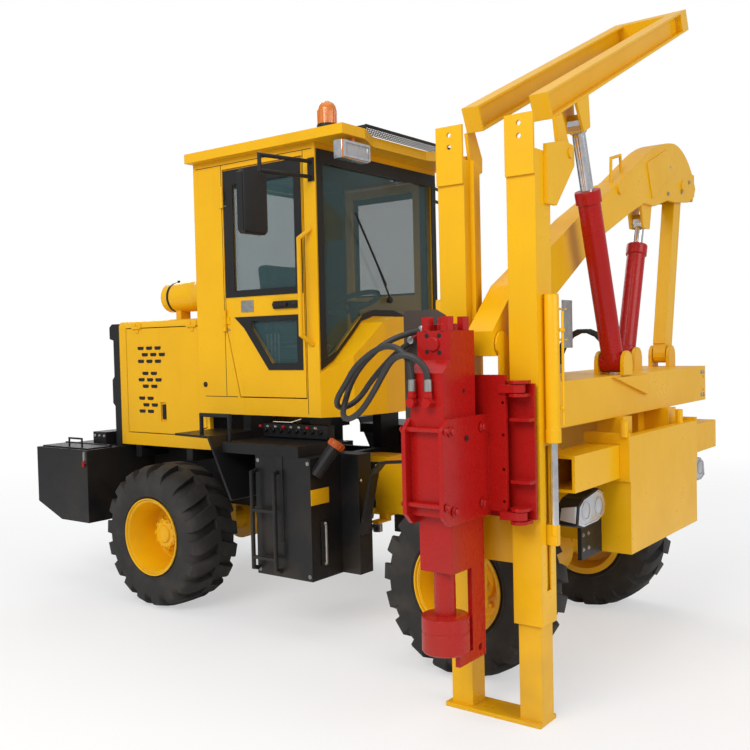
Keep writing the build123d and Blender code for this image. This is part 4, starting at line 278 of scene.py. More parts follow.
def hose(node, route):
    curve = bpy.data.curves.new(node + "_rubber", "CURVE")
    curve.dimensions = "3D"
    line = curve.splines.new("NURBS")
    line.points.add(len(route) - 1)
    for spot, point in zip(line.points, route):
        spot.co = (*row(*point), 1)
    line.order_u = 3
    line.use_endpoint_u = True
    line.resolution_u = 8
    curve.bevel_depth = HOSE_RADIUS
    curve.bevel_resolution = 4
    curve.use_fill_caps = True
    curve.materials.append(hose_rubber.material)
    made = bpy.data.objects.new(node + "_rubber", curve)
    bpy.context.scene.collection.objects.link(made)
    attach(made, "hammer_body")
    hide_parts(node)
    row(*route[0])


for node, length, route in HOSES:
    hose(node, route)


# The studio: a pale floor that fades into a white backdrop, large soft lights and a plain world.
def studio():
    world = bpy.data.worlds.new("studio")
    bpy.context.scene.world = world
    world.use_nodes = True
    tree = world.node_tree
    tree.nodes.clear()
    out = tree.nodes.new("ShaderNodeOutputWorld")
    white = tree.nodes.new("ShaderNodeBackground")
    soft = tree.nodes.new("ShaderNodeBackground")
    white.inputs["Strength"].default_value = 1.0
    white.inputs["Color"].default_value = (1, 1, 1, 1)
    soft.inputs["Color"].default_value = (0.95, 0.97, 1.0, 1)
    soft.inputs["Strength"].default_value = 0.5
    path = tree.nodes.new("ShaderNodeLightPath")
    seen = tree.nodes.new("ShaderNodeMath")
    seen.operation = "MAXIMUM"
    tree.links.new(path.outputs["Is Camera Ray"], seen.inputs[0])
    tree.links.new(path.outputs["Is Transmission Ray"], seen.inputs[1])
    pick = tree.nodes.new("ShaderNodeMixShader")
    tree.links.new(seen.outputs[0], pick.inputs[0])
    tree.links.new(soft.outputs[0], pick.inputs[1])
    tree.links.new(white.outputs[0], pick.inputs[2])
    tree.links.new(pick.outputs[0], out.inputs[0])


studio()
bpy.context.scene.view_settings.view_transform = "Standard"

FLOOR_HALF = 12.0
FADE_FROM, FADE_TO = 3.2, 8.5
floor_paint = Finish("studio_floor", Roughness=0.9)
cloudy = floor_paint.noise(2.0)
floor_paint.set(Base_Color=floor_paint.blend(cloudy, (0.88, 0.88, 0.88), (0.91, 0.91, 0.91)))
middle = floor_paint.node("VectorMath", {"operation": "LENGTH"}, {0: floor_paint.place()}, out="Value")
fade = floor_paint.range(middle, FADE_FROM, FADE_TO)
glow = floor_paint.node("Emission", {}, {"Color": (1, 1, 1), "Strength": 1.0})
seen = floor_paint.node("LightPath", out="Is Camera Ray")
matt = Wire(floor_paint, floor_paint.shader.outputs[0])
lit = floor_paint.node("MixShader", {}, {0: seen * 0.5, 1: matt, 2: glow})
clear = floor_paint.node("BsdfTransparent", {}, {"Color": (1, 1, 1)})
whole = floor_paint.node("MixShader", {}, {0: fade, 1: lit, 2: clear})
surface = next(node for node in floor_paint.tree.nodes if node.bl_idname == "ShaderNodeOutputMaterial")
floor_paint.tree.links.new(whole.socket, surface.inputs[0])
floor_mesh = bpy.data.meshes.new("studio_floor")
corners = [(x * FLOOR_HALF, y * FLOOR_HALF, 0) for x, y in ((-1, -1), (1, -1), (1, 1), (-1, 1))]
floor_mesh.from_pydata(corners, [], [(0, 1, 2, 3)])
floor = bpy.data.objects.new("studio_floor", floor_mesh)
floor_mesh.materials.append(floor_paint.material)
bpy.context.scene.collection.objects.link(floor)


def lamp(name, place, aim, size, watts, tint=(1, 1, 1)):
    light = bpy.data.lights.new(name, "AREA")
    light.shape = "RECTANGLE"
    light.size, light.size_y = size
    light.energy = watts
    light.color = tint
    made = bpy.data.objects.new(name, light)
    made.location = place
    made.rotation_mode = "QUATERNION"
    made.rotation_quaternion = (Vector(aim) - Vector(place)).to_track_quat("-Z", "Y")
    bpy.context.scene.collection.objects.link(made)


lamp("key_light", (1.5, -8.0, 6.5), (0, 0, 1.2), (6, 4), 470, (1, 0.98, 0.95))
lamp("front_light", (8.5, -1.0, 4.5), (0, 0, 1.4), (5, 4), 190)
lamp("rear_light", (-7.0, 5.0, 6.0), (0, 0, 1.2), (5, 4), 230)
lamp("top_light", (0, 0, 9.0), (0, 0, 0), (8, 8), 150)


# Gloss paint over plate steel: yellow on the frames, hood, cab, mast and booms, red on the
# hammer and its cylinders, black on the tanks, steps and boxes. Dust lies low, small chips all over.
DUST = (0.23, 0.16, 0.09)


def worn_paint(name, colour, dark, gloss=0.34, dust=0.3, wear=(0.1, 0.09, 0.08), coat=0.1, shine=0.26):
    paint = Finish(name, Coat_Weight=coat, Coat_Roughness=0.1, Specular_IOR_Level=shine)
    broad = paint.noise(2.6, 4)
    fine = paint.noise(38.0, 5)
    streak = paint.node("Mapping", {}, {"Vector": paint.place(), "Scale": (9, 9, 0.9)})
    runs = paint.noise(2.0, 4, at=streak)
    low = paint.range(paint.along(2), 0.15, 1.1, 1, 0) * paint.range(broad, 0.42, 0.7)
    body = paint.blend(paint.range(broad, 0.3, 0.75) * 0.5, colour, dark)
    body = paint.blend(paint.range(runs, 0.56, 0.72) * 0.22, body, dark)
    body = paint.blend((low * dust).clamped(), body, DUST)
    chips = paint.range(paint.noise(70.0, 3), 0.74, 0.76)
    body = paint.blend(chips * 0.5, body, wear)
    paint.set(Base_Color=body, Roughness=paint.range(fine + broad, 0.7, 1.4, gloss - 0.08, gloss + 0.12))
    round_edge = paint.node("Bevel", {"samples": 4}, {"Radius": 0.004})
    paint.set(Normal=paint.bump(paint.noise(160.0, 2), 0.04, 0.002, round_edge))
    return paint.material


yellow = worn_paint("yellow_paint", (0.88, 0.475, 0.004), (0.76, 0.38, 0.004), dust=0.22)
red = worn_paint("red_paint", (0.44, 0.008, 0.006), (0.3, 0.005, 0.004), gloss=0.28, dust=0.12)
black = worn_paint(
    "black_paint", (0.009, 0.009, 0.01), (0.018, 0.017, 0.017), gloss=0.38, dust=0.16,
    wear=(0.06, 0.055, 0.05), shine=0.25)
trim = worn_paint(
    "black_trim", (0.012, 0.012, 0.013), (0.02, 0.02, 0.02), gloss=0.45, dust=0.12,
    wear=(0.04, 0.04, 0.04), coat=0.0, shine=0.3)
iron = worn_paint("engine_iron", (0.05, 0.052, 0.055), (0.03, 0.03, 0.03), gloss=0.55, dust=0.2, coat=0.0)


def metal(name, colour, rough):
    steel = Finish(name, Metallic=1.0)
    dull = steel.noise(24.0, 4)
    tarnish = tuple(part * 0.7 for part in colour)
    steel.set(
        Base_Color=steel.blend(steel.range(dull, 0.4, 0.75), colour, tarnish),
        Roughness=steel.range(dull, 0.3, 0.75, rough, rough + 0.15))
    return steel.material


chrome = metal("chromed_rod", (0.8, 0.8, 0.82), 0.1)
zinc = metal("zinc_bolts", (0.5, 0.49, 0.46), 0.32)


def lens(name, colour, rough, alpha=1.0):
    pane = Finish(name, Roughness=rough, Coat_Weight=0.5, Coat_Roughness=0.04, Alpha=alpha)
    ripple = pane.noise(5.0, 2)
    deep = tuple(part * 0.8 for part in colour)
    pane.set(Base_Color=pane.blend(ripple, colour, deep))
    return pane.material


glass = lens("cab_glass", (0.05, 0.125, 0.135), 0.04, 0.36)
amber = lens("amber_lamp", (0.72, 0.2, 0.008), 0.16)
white_lens = lens("lamp_lens", (0.48, 0.5, 0.53), 0.1)

# Tyre rubber: near black, dusty in patches and finely grained all over. Then every CAD piece
# takes the finish of its slot, apart from the rear frame's rails, which are black.
rubber = Finish("tyre_rubber", Roughness=0.78)
dust = rubber.range(rubber.noise(7.0, 5), 0.45, 0.75)
rubber.set(
    Base_Color=rubber.blend(dust * 0.55, (0.02, 0.019, 0.018), (0.062, 0.052, 0.042)),
    Normal=rubber.bump(rubber.noise(260.0, 3), 0.35, 0.0015))
by_slot = {
    "yellow_paint": yellow, "red_paint": red, "black_paint": black, "black_plastic": trim,
    "amber_lamp": amber,
    "engine_iron": iron, "seat_cloth": trim, "clear_glass": glass, "rubber_tread": rubber.material,
    "chromed_rod": chrome, "hose_rubber": hose_rubber.material,
}
slot_of = {part["node"]: part["material_slot"] for part in frame["record"]["subparts"]}
slot_of["rear_chassis"] = "black_paint"
for name, node in cad.items():
    node.data.materials.clear()
    node.data.materials.append(by_slot[slot_of[name]])

# Wheels: implement tyres with kinked chevron lugs on deep dished steel rims. The planetary hub
# stands out through the disc with ten bosses round it. A row gives a wheel's corner, X and side.
AXLE_HIGH = 470
WHEEL_OUT = 755
BOSSES, BOSS_RING = 10, 86
NUTS, NUT_RING = 12, 150
TREAD_MIDDLE = 445.0
WHEELS = (
    ("rear_right", 0, -1), ("rear_left", 0, 1), ("front_right", 2350, -1), ("front_left", 2350, 1),
)
CARCASS = (
    (150, 236), (166, 250), (177, 268), (182, 272), (182, 280), (180, 284), (190, 318), (194, 350),
    (194, 372), (188, 392), (170, 415), (140, 429), (80, 435), (0, 436),
)
RIM = (
    (184, 254), (184, 247), (172, 243), (170, 228), (152, 224), (118, 216), (60, 207), (-40, 197),
    (-48, 190), (-48, 112), (-70, 112), (-70, 192), (-184, 218), (-184, 254), (-174, 254), (-172, 233),
    (172, 233), (174, 254),
)
HUB = ((-130, 118), (4, 118), (14, 108), (18, 92), (52, 92), (60, 84), (62, 60), (74, 54), (80, 40))
LUGS = 18
# Each station of a lug: out from the middle, radius of its top, of its foot, and how far it sweeps
LUG_RUN = (
    (-12, 469.0, 425, -30), (40, 469.0, 425, -20), (66, 468.5, 424, -6), (100, 467, 420, 4),
    (140, 460, 408, 20), (172, 450, 396, 28), (190, 432, 372, 31), (194.5, 405, 352, 32),
)


def lug(shape, centre, turn, lean):
    rings = []
    for out, top, base, sweep in LUG_RUN:
        ring = []
        for radius, half in ((base, 52), (top, 41), (top, -41), (base, -52)):
            angle = turn + (sweep + half) / TREAD_MIDDLE
            x, z = centre[0] + radius * math.sin(angle), centre[2] + radius * math.cos(angle)
            ring.append(row(x, centre[1] + lean * out, z))
        rings.append(ring)
    shape.skin(rings)


for corner, x, side in WHEELS:
    centre = (x, side * WHEEL_OUT, AXLE_HIGH)
    outward = (0, side, 0)
    tyre = Shape()
    profile = list(CARCASS) + [(-along, radius) for along, radius in CARCASS[-2::-1]]
    profile += [(-120, 233.5), (120, 233.5)]
    tyre.loop(centre, outward, profile, 96)
    pitch = 2 * math.pi / LUGS
    for number in range(LUGS):
        lug(tyre, centre, number * pitch, 1)
        lug(tyre, centre, (number + 0.5) * pitch, -1)
    tyre.done("tread_" + corner, "wheel_" + corner, rubber.material, "rubber_tread", ("tyre_" + corner,), 28)
    rim = Shape()
    rim.loop(centre, outward, RIM, 72)
    rim.post(centre, outward, HUB, 48)
    for number in range(BOSSES):
        turn = 2 * math.pi * number / BOSSES
        boss = (x + BOSS_RING * math.cos(turn), centre[1], AXLE_HIGH + BOSS_RING * math.sin(turn))
        rim.post(boss, outward, ((10, 17), (56, 17), (60, 13)), 20)
    rim.done("wheel_disc_" + corner, "wheel_" + corner, yellow, "yellow_paint", ("rim_" + corner,), 30)
    nuts = Shape()
    for count, ring, out, wide, high in ((NUTS, NUT_RING, -48, 13, 20), (BOSSES, BOSS_RING, 60, 7, 8)):
        for number in range(count):
            turn = 2 * math.pi * number / count
            spot = (x + ring * math.cos(turn), centre[1] + side * out, AXLE_HIGH + ring * math.sin(turn))
            nuts.bolt(spot, outward, wide, high)
    nuts.done("wheel_nuts_" + corner, "wheel_" + corner, yellow, "yellow_paint")

# Hood panels: rows of louvre slits with a pressed lip over each, staggered and cut short by the
# hood's slope, and a black turn latch in its recess. The slits are near-black ovals on the panel: painted
# shade.
LOUVRE_STEP = 92
LOUVRE_ROWS = (1710, 1664, 1617, 1531, 1485, 1439, 1353, 1306, 1260)
for side, name in ((-1, "right"), (1, "left")):
    body = "hood_panel_body_" + name
    lips = Shape()
    slit_shade_and_latch = Shape()
    for number, z in enumerate(LOUVRE_ROWS):
        shift = 44 if number % 2 else 0
        last = -416 + 132 * (z - 1260) / 450
        for step in range(3):
            x = -548 + shift + LOUVRE_STEP * step
            if x < last:
                oval = [
                    (x + 9, z - 14), (x + 60, z - 14), (x + 70, z), (x + 60, z + 14), (x + 9, z + 14),
                    (x, z)]
                # A near-black oval laid on the panel under each lip: painted shade standing in for the
                # slit's opening.
                slit_shade_and_latch.slab(oval, "y", side * 549.5, side * 551.4, 0)
                lip = [(x + 2, z + 10), (x + 68, z + 10), (x + 60, z + 19), (x + 10, z + 19)]
                lips.slab(lip, "y", side * 549, side * 556)
    lips.done("louvre_lips_" + name, body, yellow, "yellow_paint")
    slit_shade_and_latch.block(-303, -268, side * 538, side * 547, 1205, 1310, 3)
    slit_shade_and_latch.post((-285, side * 545, 1256), (0, side, 0), ((0, 13), (3, 13), (4.5, 9)), 24)
    slit_shade_and_latch.done("louvre_slots_" + name, body, trim, "black_plastic")

# Air cleaner: a turned steel can with a domed end, lying on the hood in two clamp bands, with a
# black drain fitting low on its outer side.
CAN_Y, CAN_Z = -350, 2068
CAN = (
    (0, 34), (5, 70), (18, 93), (40, 104), (56, 106), (300, 106), (304, 104), (312, 104), (316, 106),
    (500, 106), (515, 100), (520, 88),
)
can = Shape()
can.post((-396, CAN_Y, CAN_Z), (1, 0, 0), CAN, 64)
can.done("air_cleaner_can", "rear_frame", yellow, "yellow_paint")
bands = Shape()
for x in (-330, 70):
    bands.loop((x, CAN_Y, CAN_Z), (1, 0, 0), ((0, 105), (0, 109), (20, 109), (20, 105)), 64)
    bands.block(x + 3, x + 17, -352, -336, 2172, 2190, 2)
bands.post((98, -455, 2030), (0, -1, 0), ((-5, 12), (8, 12), (9, 8), (20, 8)), 6)
bands.done("air_cleaner_bands", "rear_frame", trim, "black_plastic")

# Rear box: three bolts on each side of the raised block, and on each side wall a plated toggle
# latch with a red grip.
for side, name in ((-1, "right"), (1, "left")):
    fixings = Shape()
    for x in (-1010, -955, -900):
        fixings.bolt((x, side * 600, 1065), (0, side, 0), 9, 8)
    fixings.block(-742, -716, side * 900, side * 904, 905, 990, 1)
    fixings.rod((-729, side * 908, 915), (-729, side * 908, 985), 5)
    fixings.done("box_fixings_" + name, "rear_frame", zinc, "chromed_rod")
    grip = Shape()
    grip.rod((-729, side * 911, 884), (-729, side * 911, 926), 9)
    grip.done("latch_grip_" + name, "rear_frame", red, "red_paint")

# Cab doors: a black printed border round the upper glass, a rubber seal round the lower one, a
# steel lock plate and a black pull handle on the yellow middle rail.
for side, name in ((-1, "right"), (1, "left")):
    body = "door_body_" + name
    edge = Shape()
    edge.frame(
        [(479, 2020), (1136, 2020), (1136, 2828), (479, 2828)],
        [(560, 2062), (1080, 2062), (1080, 2733), (560, 2733)], "y", side * 650.2, side * 655)
    edge.frame(
        [(548, 1893), (1122, 1893), (1122, 1556), (838, 1556), (632, 1822)],
        [(694, 1862), (1078, 1862), (1078, 1598), (866, 1598), (694, 1828)], "y", side * 650.2, side * 654)
    edge.done("door_glass_border_" + name, body, trim, "black_plastic")
    handle = Shape()
    handle.block(894, 1090, side * 650, side * 666, 1932, 1980, 6)
    handle.block(905, 1020, side * 664, side * 684, 1945, 1968, 6)
    handle.post((1062, side * 664, 1956), (0, side, 0), ((0, 13), (4, 13), (6, 10)), 24)
    handle.done("door_handle_" + name, body, trim, "black_plastic")
    plate = Shape()
    plate.block(612, 720, side * 650, side * 655, 1922, 1996, 2)
    plate.bolt((632, side * 655, 1960), (0, side, 0), 6, 7)
    plate.bolt((700, side * 655, 1960), (0, side, 0), 6, 7)
    for z in (1850, 2640):
        for x in (486, 500):
            plate.bolt((x, side * 652, z - 34), (0, side, 0), 5, 6)
    plate.done("door_lock_plate_" + name, body, zinc, "chromed_rod")

# Cab front and back: the bonded windscreen has a black border that follows the stepped nose, its
# wiper turns above the nose, and thin black seams part the cab's panels.
EDGE_Y = (640, 525, 331, 243, 115)
EDGE_Z = (1556, 1610, 1769, 1848, 1881)
HOLE_Y = (588, 488, 300, 222, 108)
HOLE_Z = (1618, 1668, 1824, 1890, 1921)
border = Shape()
outer = [(-y, z) for y, z in zip(EDGE_Y, EDGE_Z)] + [(y, z) for y, z in zip(EDGE_Y[::-1], EDGE_Z[::-1])]
inner = [(-y, z) for y, z in zip(HOLE_Y, HOLE_Z)] + [(y, z) for y, z in zip(HOLE_Y[::-1], HOLE_Z[::-1])]
outer += [(640, 2868), (-640, 2868)]
inner += [(588, 2788), (-588, 2788)]
border.frame(outer, inner, "x", 1250.3, 1256)
rear_outer = [(-600, 1930), (600, 1930), (600, 2850), (-600, 2850)]
rear_inner = [(-548, 1985), (548, 1985), (548, 2795), (-548, 2795)]
border.frame(rear_outer, rear_inner, "x", 195, 199.7)
border.done("windscreen_border", "rear_frame", trim, "black_plastic")
wiper = Shape()
wiper.rod((1272, -300, 2520), (1272, 10, 2080), 7)
wiper.rod((1268, 60, 1990), (1276, -140, 2290), 6)
wiper.post((1256, 62, 1986), (1, 0, 0), ((-8, 20), (16, 20), (20, 14)), 24)
wiper.done("wiper", "rear_frame", trim, "black_plastic")
seams = Shape()
for side in (-1, 1):
    y0, y1 = side * 649.5, side * 650.8
    seams.block(260, 557, y0, y1, 1383, 1387, 0)
    seams.block(224, 1226, y0, y1, 2868, 2872, 0)
    seams.block(456, 460, y0, y1, 1387, 2868, 0)
    seams.block(1152, 1156, y0, y1, 1290, 2868, 0)
    seams.post((262, side * 649, 1462), (0, side, 0), ((0, 17), (6, 17), (10, 11)), 24)
seams.block(1250, 1250.9, -640, 640, 1300, 1303, 0)
seams.done("cab_seams", "rear_frame", trim, "black_plastic")

# Cab inside: near-black panels on the rear wall round its window, under the roof and on the
# corner posts: painted shade that keeps the inside of the cab dark.
# Painted shade: near-black panels inside the cab where the inside falls dark.
inside_shade = Shape()
inside_shade.frame(
    [(-604, 1316), (604, 1316), (604, 2859), (-604, 2859)],
    [(-560, 1966), (560, 1966), (560, 2814), (-560, 2814)], "x", 245.2, 251)
inside_shade.block(252, 1200, -600, 600, 2852, 2859.5, 1)
for side in (-1, 1):
    low, high = sorted((side * 598, side * 604.6))
    inside_shade.block(252, 468, low, high, 1318, 2850, 1)
    inside_shade.block(1146, 1200, low, high, 1640, 2850, 1)
inside_shade.done("cab_inside_shade", "rear_frame", trim, "black_plastic")

# Roof: a black wire visor between the roof's front ears, ribbed work lamps in chrome rims, and an
# amber beacon on its black base.
BEACON_X, BEACON_Y = 1230, -500
BEACON_RADIUS, BEACON_RIBS = 57, 24
visor = Shape()
for number in range(45):
    y = -484 + 22 * number
    visor.rod((1398, y, 2978), (1510, y, 2990), 2, 6)
for number in range(6):
    x = 1400 + 22 * number
    visor.rod((x, -490, 2978 + 2.2 * number), (x, 490, 2978 + 2.2 * number), 2.4, 6)
for y in (-488, 488):
    visor.block(1392, 1514, y - 6, y + 6, 2966, 2992, 2)
visor.block(1504, 1514, -488, 488, 2980, 2996, 2)
visor.done("roof_visor", "rear_frame", trim, "black_plastic")
lenses = Shape()
bezels = Shape()
for side in (-1, 1):
    low, high = sorted((side * 450, side * 700))
    bezels.frame(
        [(low + 2, 2777), (high - 2, 2777), (high - 2, 2873), (low + 2, 2873)],
        [(low + 16, 2791), (high - 16, 2791), (high - 16, 2859), (low + 16, 2859)], "x", 1499, 1514)
    bezels.block(1436, 1500, low - 2, high + 2, 2771, 2879, 8)
    lenses.block(1500, 1507, low + 14, high - 14, 2789, 2861, 2)
    for number in range(7):
        y = low + 30 + 31 * number
        lenses.block(1506, 1510, y, y + 6, 2793, 2857, 1)
bezels.done("work_lamp_rims", "rear_frame", chrome, "chromed_rod")
lenses.done("work_lamp_lenses", "rear_frame", white_lens, "clear_glass")
beacon = Shape()
dome = ((0, BEACON_RADIUS), (90, BEACON_RADIUS), (112, 52), (128, 40), (138, 22), (141, 6))
beacon.post((BEACON_X, BEACON_Y, 3030), (0, 0, 1), dome, 48)
for number in range(BEACON_RIBS):
    turn = 2 * math.pi * number / BEACON_RIBS
    x, y = BEACON_X + BEACON_RADIUS * math.cos(turn), BEACON_Y + BEACON_RADIUS * math.sin(turn)
    beacon.rod((x, y, 3034), (x, y, 3118), 3, 6)
beacon.done("beacon_dome", "rear_frame", amber, "amber_lamp")
base = Shape()
base.post((BEACON_X, BEACON_Y, 2979), (0, 0, 1), ((0, 70), (6, 70), (10, 64), (50, 64), (54, 60)), 48)
base.done("beacon_base", "rear_frame", trim, "black_plastic")

# Mirrors: a moulded black shell with rounded edges and clipped corners, and the silvered glass
# that faces the rear.
for side, name in ((-1, "right"), (1, "left")):
    low, high = sorted((side * 985, side * 1180))
    shell = Shape()
    shell.slab([
        (low + 12, 2344), (high - 12, 2344), (high - 4, 2356), (high - 4, 2670), (high - 12, 2682),
        (low + 12, 2682), (low + 4, 2670), (low + 4, 2356)], "x", 1165, 1180, 6)
    shell.done("mirror_back_" + name, "rear_frame", trim, "black_plastic")
    face = Shape()
    face.slab([
        (low + 22, 2362), (high - 22, 2362), (high - 16, 2368), (high - 16, 2658), (high - 22, 2664),
        (low + 22, 2664), (low + 16, 2658), (low + 16, 2368)], "x", 1127.5, 1130, 0.6)
    face.done("mirror_glass_" + name, "rear_frame", chrome, "chromed_rod")

# Driver's seat: a sprung steel base under a padded cushion and back in black cloth, with two
# sewn channels down each pad.
cloth = Finish("seat_cloth", Roughness=0.9, Sheen_Weight=0.3)
weave = cloth.node(
    "TexWave", {"wave_type": "BANDS", "bands_direction": "DIAGONAL"},
    {"Vector": cloth.place(), "Scale": 260.0, "Distortion": 1.5})
PAD_ROUND = 34.0
PAD_PULL = 0.035
CHANNEL_AT, CHANNEL_WIDE, CHANNEL_DEEP = 0.42, 8, 7
cloth.set(
    Base_Color=cloth.blend(weave, (0.018, 0.018, 0.02), (0.045, 0.045, 0.05)),
    Normal=cloth.bump(weave, 0.25, 0.0008))


def pad(name, centre, half, lean, crown):
    mesh = bmesh.new()
    bmesh.ops.create_cube(mesh, size=2)
    bmesh.ops.subdivide_edges(mesh, edges=mesh.edges[:], cuts=23, use_grid_fill=True)
    radius = PAD_ROUND
    for vert in mesh.verts:
        u, v, w = vert.co
        pull = 1 - PAD_PULL * (1 - u * u) * (abs(v) > 0.99) - PAD_PULL * (1 - v * v) * (abs(u) > 0.99)
        spot = [u * half[0] * pull, v * half[1] * pull, w * half[2]]
        core = [max(-h + radius, min(h - radius, part)) if h > radius else 0 for part, h in zip(spot, half)]
        run = Vector(spot) - Vector(core)
        if run.length > radius:
            run = run.normalized() * radius
        place = Vector(core) + run
        puff = crown * (1 - u * u) * (1 - v * v)
        near = [(v - at) * half[1] / CHANNEL_WIDE for at in (CHANNEL_AT, -CHANNEL_AT)]
        channel = CHANNEL_DEEP * sum(math.exp(-gap ** 2) for gap in near)
        place.z += (puff - channel * (1 - u ** 8)) * (1 if w > 0 else -0.2)
        turned = Matrix.Rotation(math.radians(lean), 3, "Y") @ place
        vert.co = row(*(Vector(centre) + turned))
    data = bpy.data.meshes.new(name)
    mesh.to_mesh(data)
    mesh.free()
    data.shade_smooth()
    data.materials.append(cloth.material)
    made = bpy.data.objects.new(name, data)
    bpy.context.scene.collection.objects.link(made)
    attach(made, "rear_frame")


stand = Shape()
stand.block(430, 800, -160, 160, 1315.5, 1420, 8)
for number in range(4):
    z = 1420 + 36 * number
    stand.block(452, 778, -142, 142, z, z + 30, 12)
stand.block(415, 835, -235, 235, 1566, 1602, 8)
stand.done("seat_base", "rear_frame", trim, "black_plastic", ("driver_seat",))
pad("seat_cushion", (625, 0, 1652), (215, 240, 46), 0, 10)
pad("seat_back", (415, 0, 1992), (272, 228, 44), 82.5, 8)

# Levers in the cab: four chrome levers with black knobs on a desk beside the door, and the knobs
# of two more on the console.
desk = Shape()
desk.block(670, 810, -545, -455, 1316, 1580, 10)
desk.done("lever_desk", "rear_frame", trim, "black_plastic")
levers = Shape()
knobs = Shape()
for x in (690, 722, 754, 786):
    levers.rod((x, -500, 1570), (x + 8, -508, 1790), 5)
    knobs.post((x + 8, -508, 1782), (0.03, -0.03, 1), ((0, 8), (10, 15), (26, 15), (36, 8)), 20)
for y in (-370, -330):
    knobs.post((965, y, 1880), (0, 0, 1), ((0, 10), (10, 17), (28, 17), (38, 9)), 20)
levers.done("cab_levers", "rear_frame", chrome, "chromed_rod")
knobs.done("lever_knobs", "rear_frame", trim, "black_plastic")

# Valve bank under the right door: a black bank on the deck with short plated levers, every third
# of them with a red knob.
VALVES, VALVE_FROM, VALVE_STEP = 8, 725, 65
KNOB = ((0, 7), (5, 11), (16, 11), (22, 6))
bank = Shape()
bank.block(700, 1230, -575, -500, 1130, 1215, 5)
for number in range(VALVES):
    x = VALVE_FROM + VALVE_STEP * number
    bank.post((x, -574, 1175), (0, -1, 0), ((0, 17), (14, 17), (18, 12)), 6)
bank.done("valve_bank", "rear_frame", trim, "black_plastic")
stems = Shape()
tips = Shape()
for number in range(VALVES):
    x = VALVE_FROM + VALVE_STEP * number
    stems.rod((x, -588, 1178), (x + 6, -622, 1196), 4)
    carrier = stems if number % 3 else tips
    carrier.post((x + 6, -620, 1196), (0, -1, 0.5), KNOB, 16)
stems.done("valve_levers", "rear_frame", zinc, "chromed_rod")
tips.done("valve_knobs", "rear_frame", red, "red_paint")

# Tanks: amber plastic filler caps with ribs, a strap with its toggle, a bare yellow plate, a sight
# gauge and the bolts of the mounting flanges.
CAP_RIBS = 14
cap_plastic = Finish("cap_plastic", Roughness=0.4, Specular_IOR_Level=0.3)
mottle = cap_plastic.noise(30.0)
cap_plastic.set(Base_Color=cap_plastic.blend(mottle, (0.5, 0.09, 0.008), (0.36, 0.06, 0.006)))
caps = Shape()
fuel = Vector((84, -80, 160)).normalized()
for side in (-1, 1):
    lean = Vector((fuel.x, side * fuel.y, fuel.z))
    start = Vector((1450, side * 770, 1118)) - lean * 4
    caps.post(start, lean, ((0, 48), (16, 50), (30, 49), (38, 45), (41, 34)), 40)
    for number in range(CAP_RIBS):
        turn = 2 * math.pi * number / CAP_RIBS
        aside = Vector((0, 1, 0)).cross(lean).normalized()
        up = lean.cross(aside)
        foot = start + 49 * (math.cos(turn) * aside + math.sin(turn) * up)
        caps.rod(foot + 6 * lean, foot + 34 * lean, 3, 6)
caps.done("filler_caps", "rear_frame", cap_plastic.material, "amber_lamp")
strap = Shape()
strap.block(1110, 1160, -905, -899, 560, 1062, 2)
strap.block(1106, 1164, -912, -900, 930, 990, 4)
strap.block(1371, 1379, -820, -758, 428, 686, 3)
strap.done("tank_strap", "rear_frame", trim, "black_plastic")
gauge = Shape()
gauge.rod((1384, -789, 450), (1384, -789, 664), 9)
gauge.bolt((1378, -789, 442), (1, 0, 0), 9, 12)
gauge.bolt((1378, -789, 672), (1, 0, 0), 9, 12)
for x in (960, 1350):
    for z in (380, 1030):
        gauge.bolt((x, -900, z), (0, -1, 0), 8, 7)
for z in (594, 906):
    gauge.bolt((1500, -600, z), (1, 0, 0), 7, 6)
gauge.done("tank_gauge", "rear_frame", zinc, "chromed_rod")
tag = Shape()
tag.block(1370, 1374, -900, -742, 790, 880, 1)
tag.done("tank_plate", "rear_frame", yellow, "yellow_paint")

# Headlamps: clear lenses that wrap round the outer side of the black housings, each with a bright
# rim and two ringed bowls in its face.
LAMP_Y, LAMP_Z = 765, 905
LAMP_EDGE = (
    (930, 845), (912, 932), (860, 960), (680, 988), (628, 968), (600, 900), (614, 852), (700, 830),
    (870, 826),
)
panes = Shape()
shine = Shape()
for side in (-1, 1):
    face = [(side * (LAMP_Y + (y - LAMP_Y) * 0.86), LAMP_Z + (z - LAMP_Z) * 0.84) for y, z in LAMP_EDGE]
    rim = [(side * (LAMP_Y + (y - LAMP_Y) * 0.93), LAMP_Z + (z - LAMP_Z) * 0.93) for y, z in LAMP_EDGE]
    panes.slab(face, "x", 3007, 3012, 1)
    low, high = sorted((side * 900, side * 933))
    panes.slab([(2926, 866), (3003, 856), (3003, 934), (2934, 924)], "y", low, high, 3)
    shine.frame(rim, face, "x", 3006, 3014)
    for y in (690, 835):
        shine.loop((3011, side * y, 903), (1, 0, 0), ((0, 40), (0, 46), (6, 46), (6, 40)), 40)
        panes.post((3011, side * y, 903), (1, 0, 0), ((0, 39), (5, 36), (9, 24), (11, 8)), 40)
panes.done("headlamp_lenses", "front_frame", white_lens, "clear_glass")
shine.done("headlamp_rims", "front_frame", chrome, "chromed_rod")

# Front frame fixings: plated bolts with washers in the front faces of both beams, and in the
# bracket of the right headlamp.
fixings = Shape()
for y in (-1060, -1040, 980, 1020):
    for z in (1340, 1480):
        fixings.bolt((2980, y, z), (1, 0, 0), 9, 9)
for y in (-470, -330, 240):
    for z in (1030, 1166):
        fixings.bolt((3050, y, z), (1, 0, 0), 7, 7)
for y in (-720, -660):
    for z in (690, 760):
        fixings.bolt((2945, y, z), (1, 0, 0), 7, 7)
fixings.done("front_bolts", "front_frame", zinc, "chromed_rod")

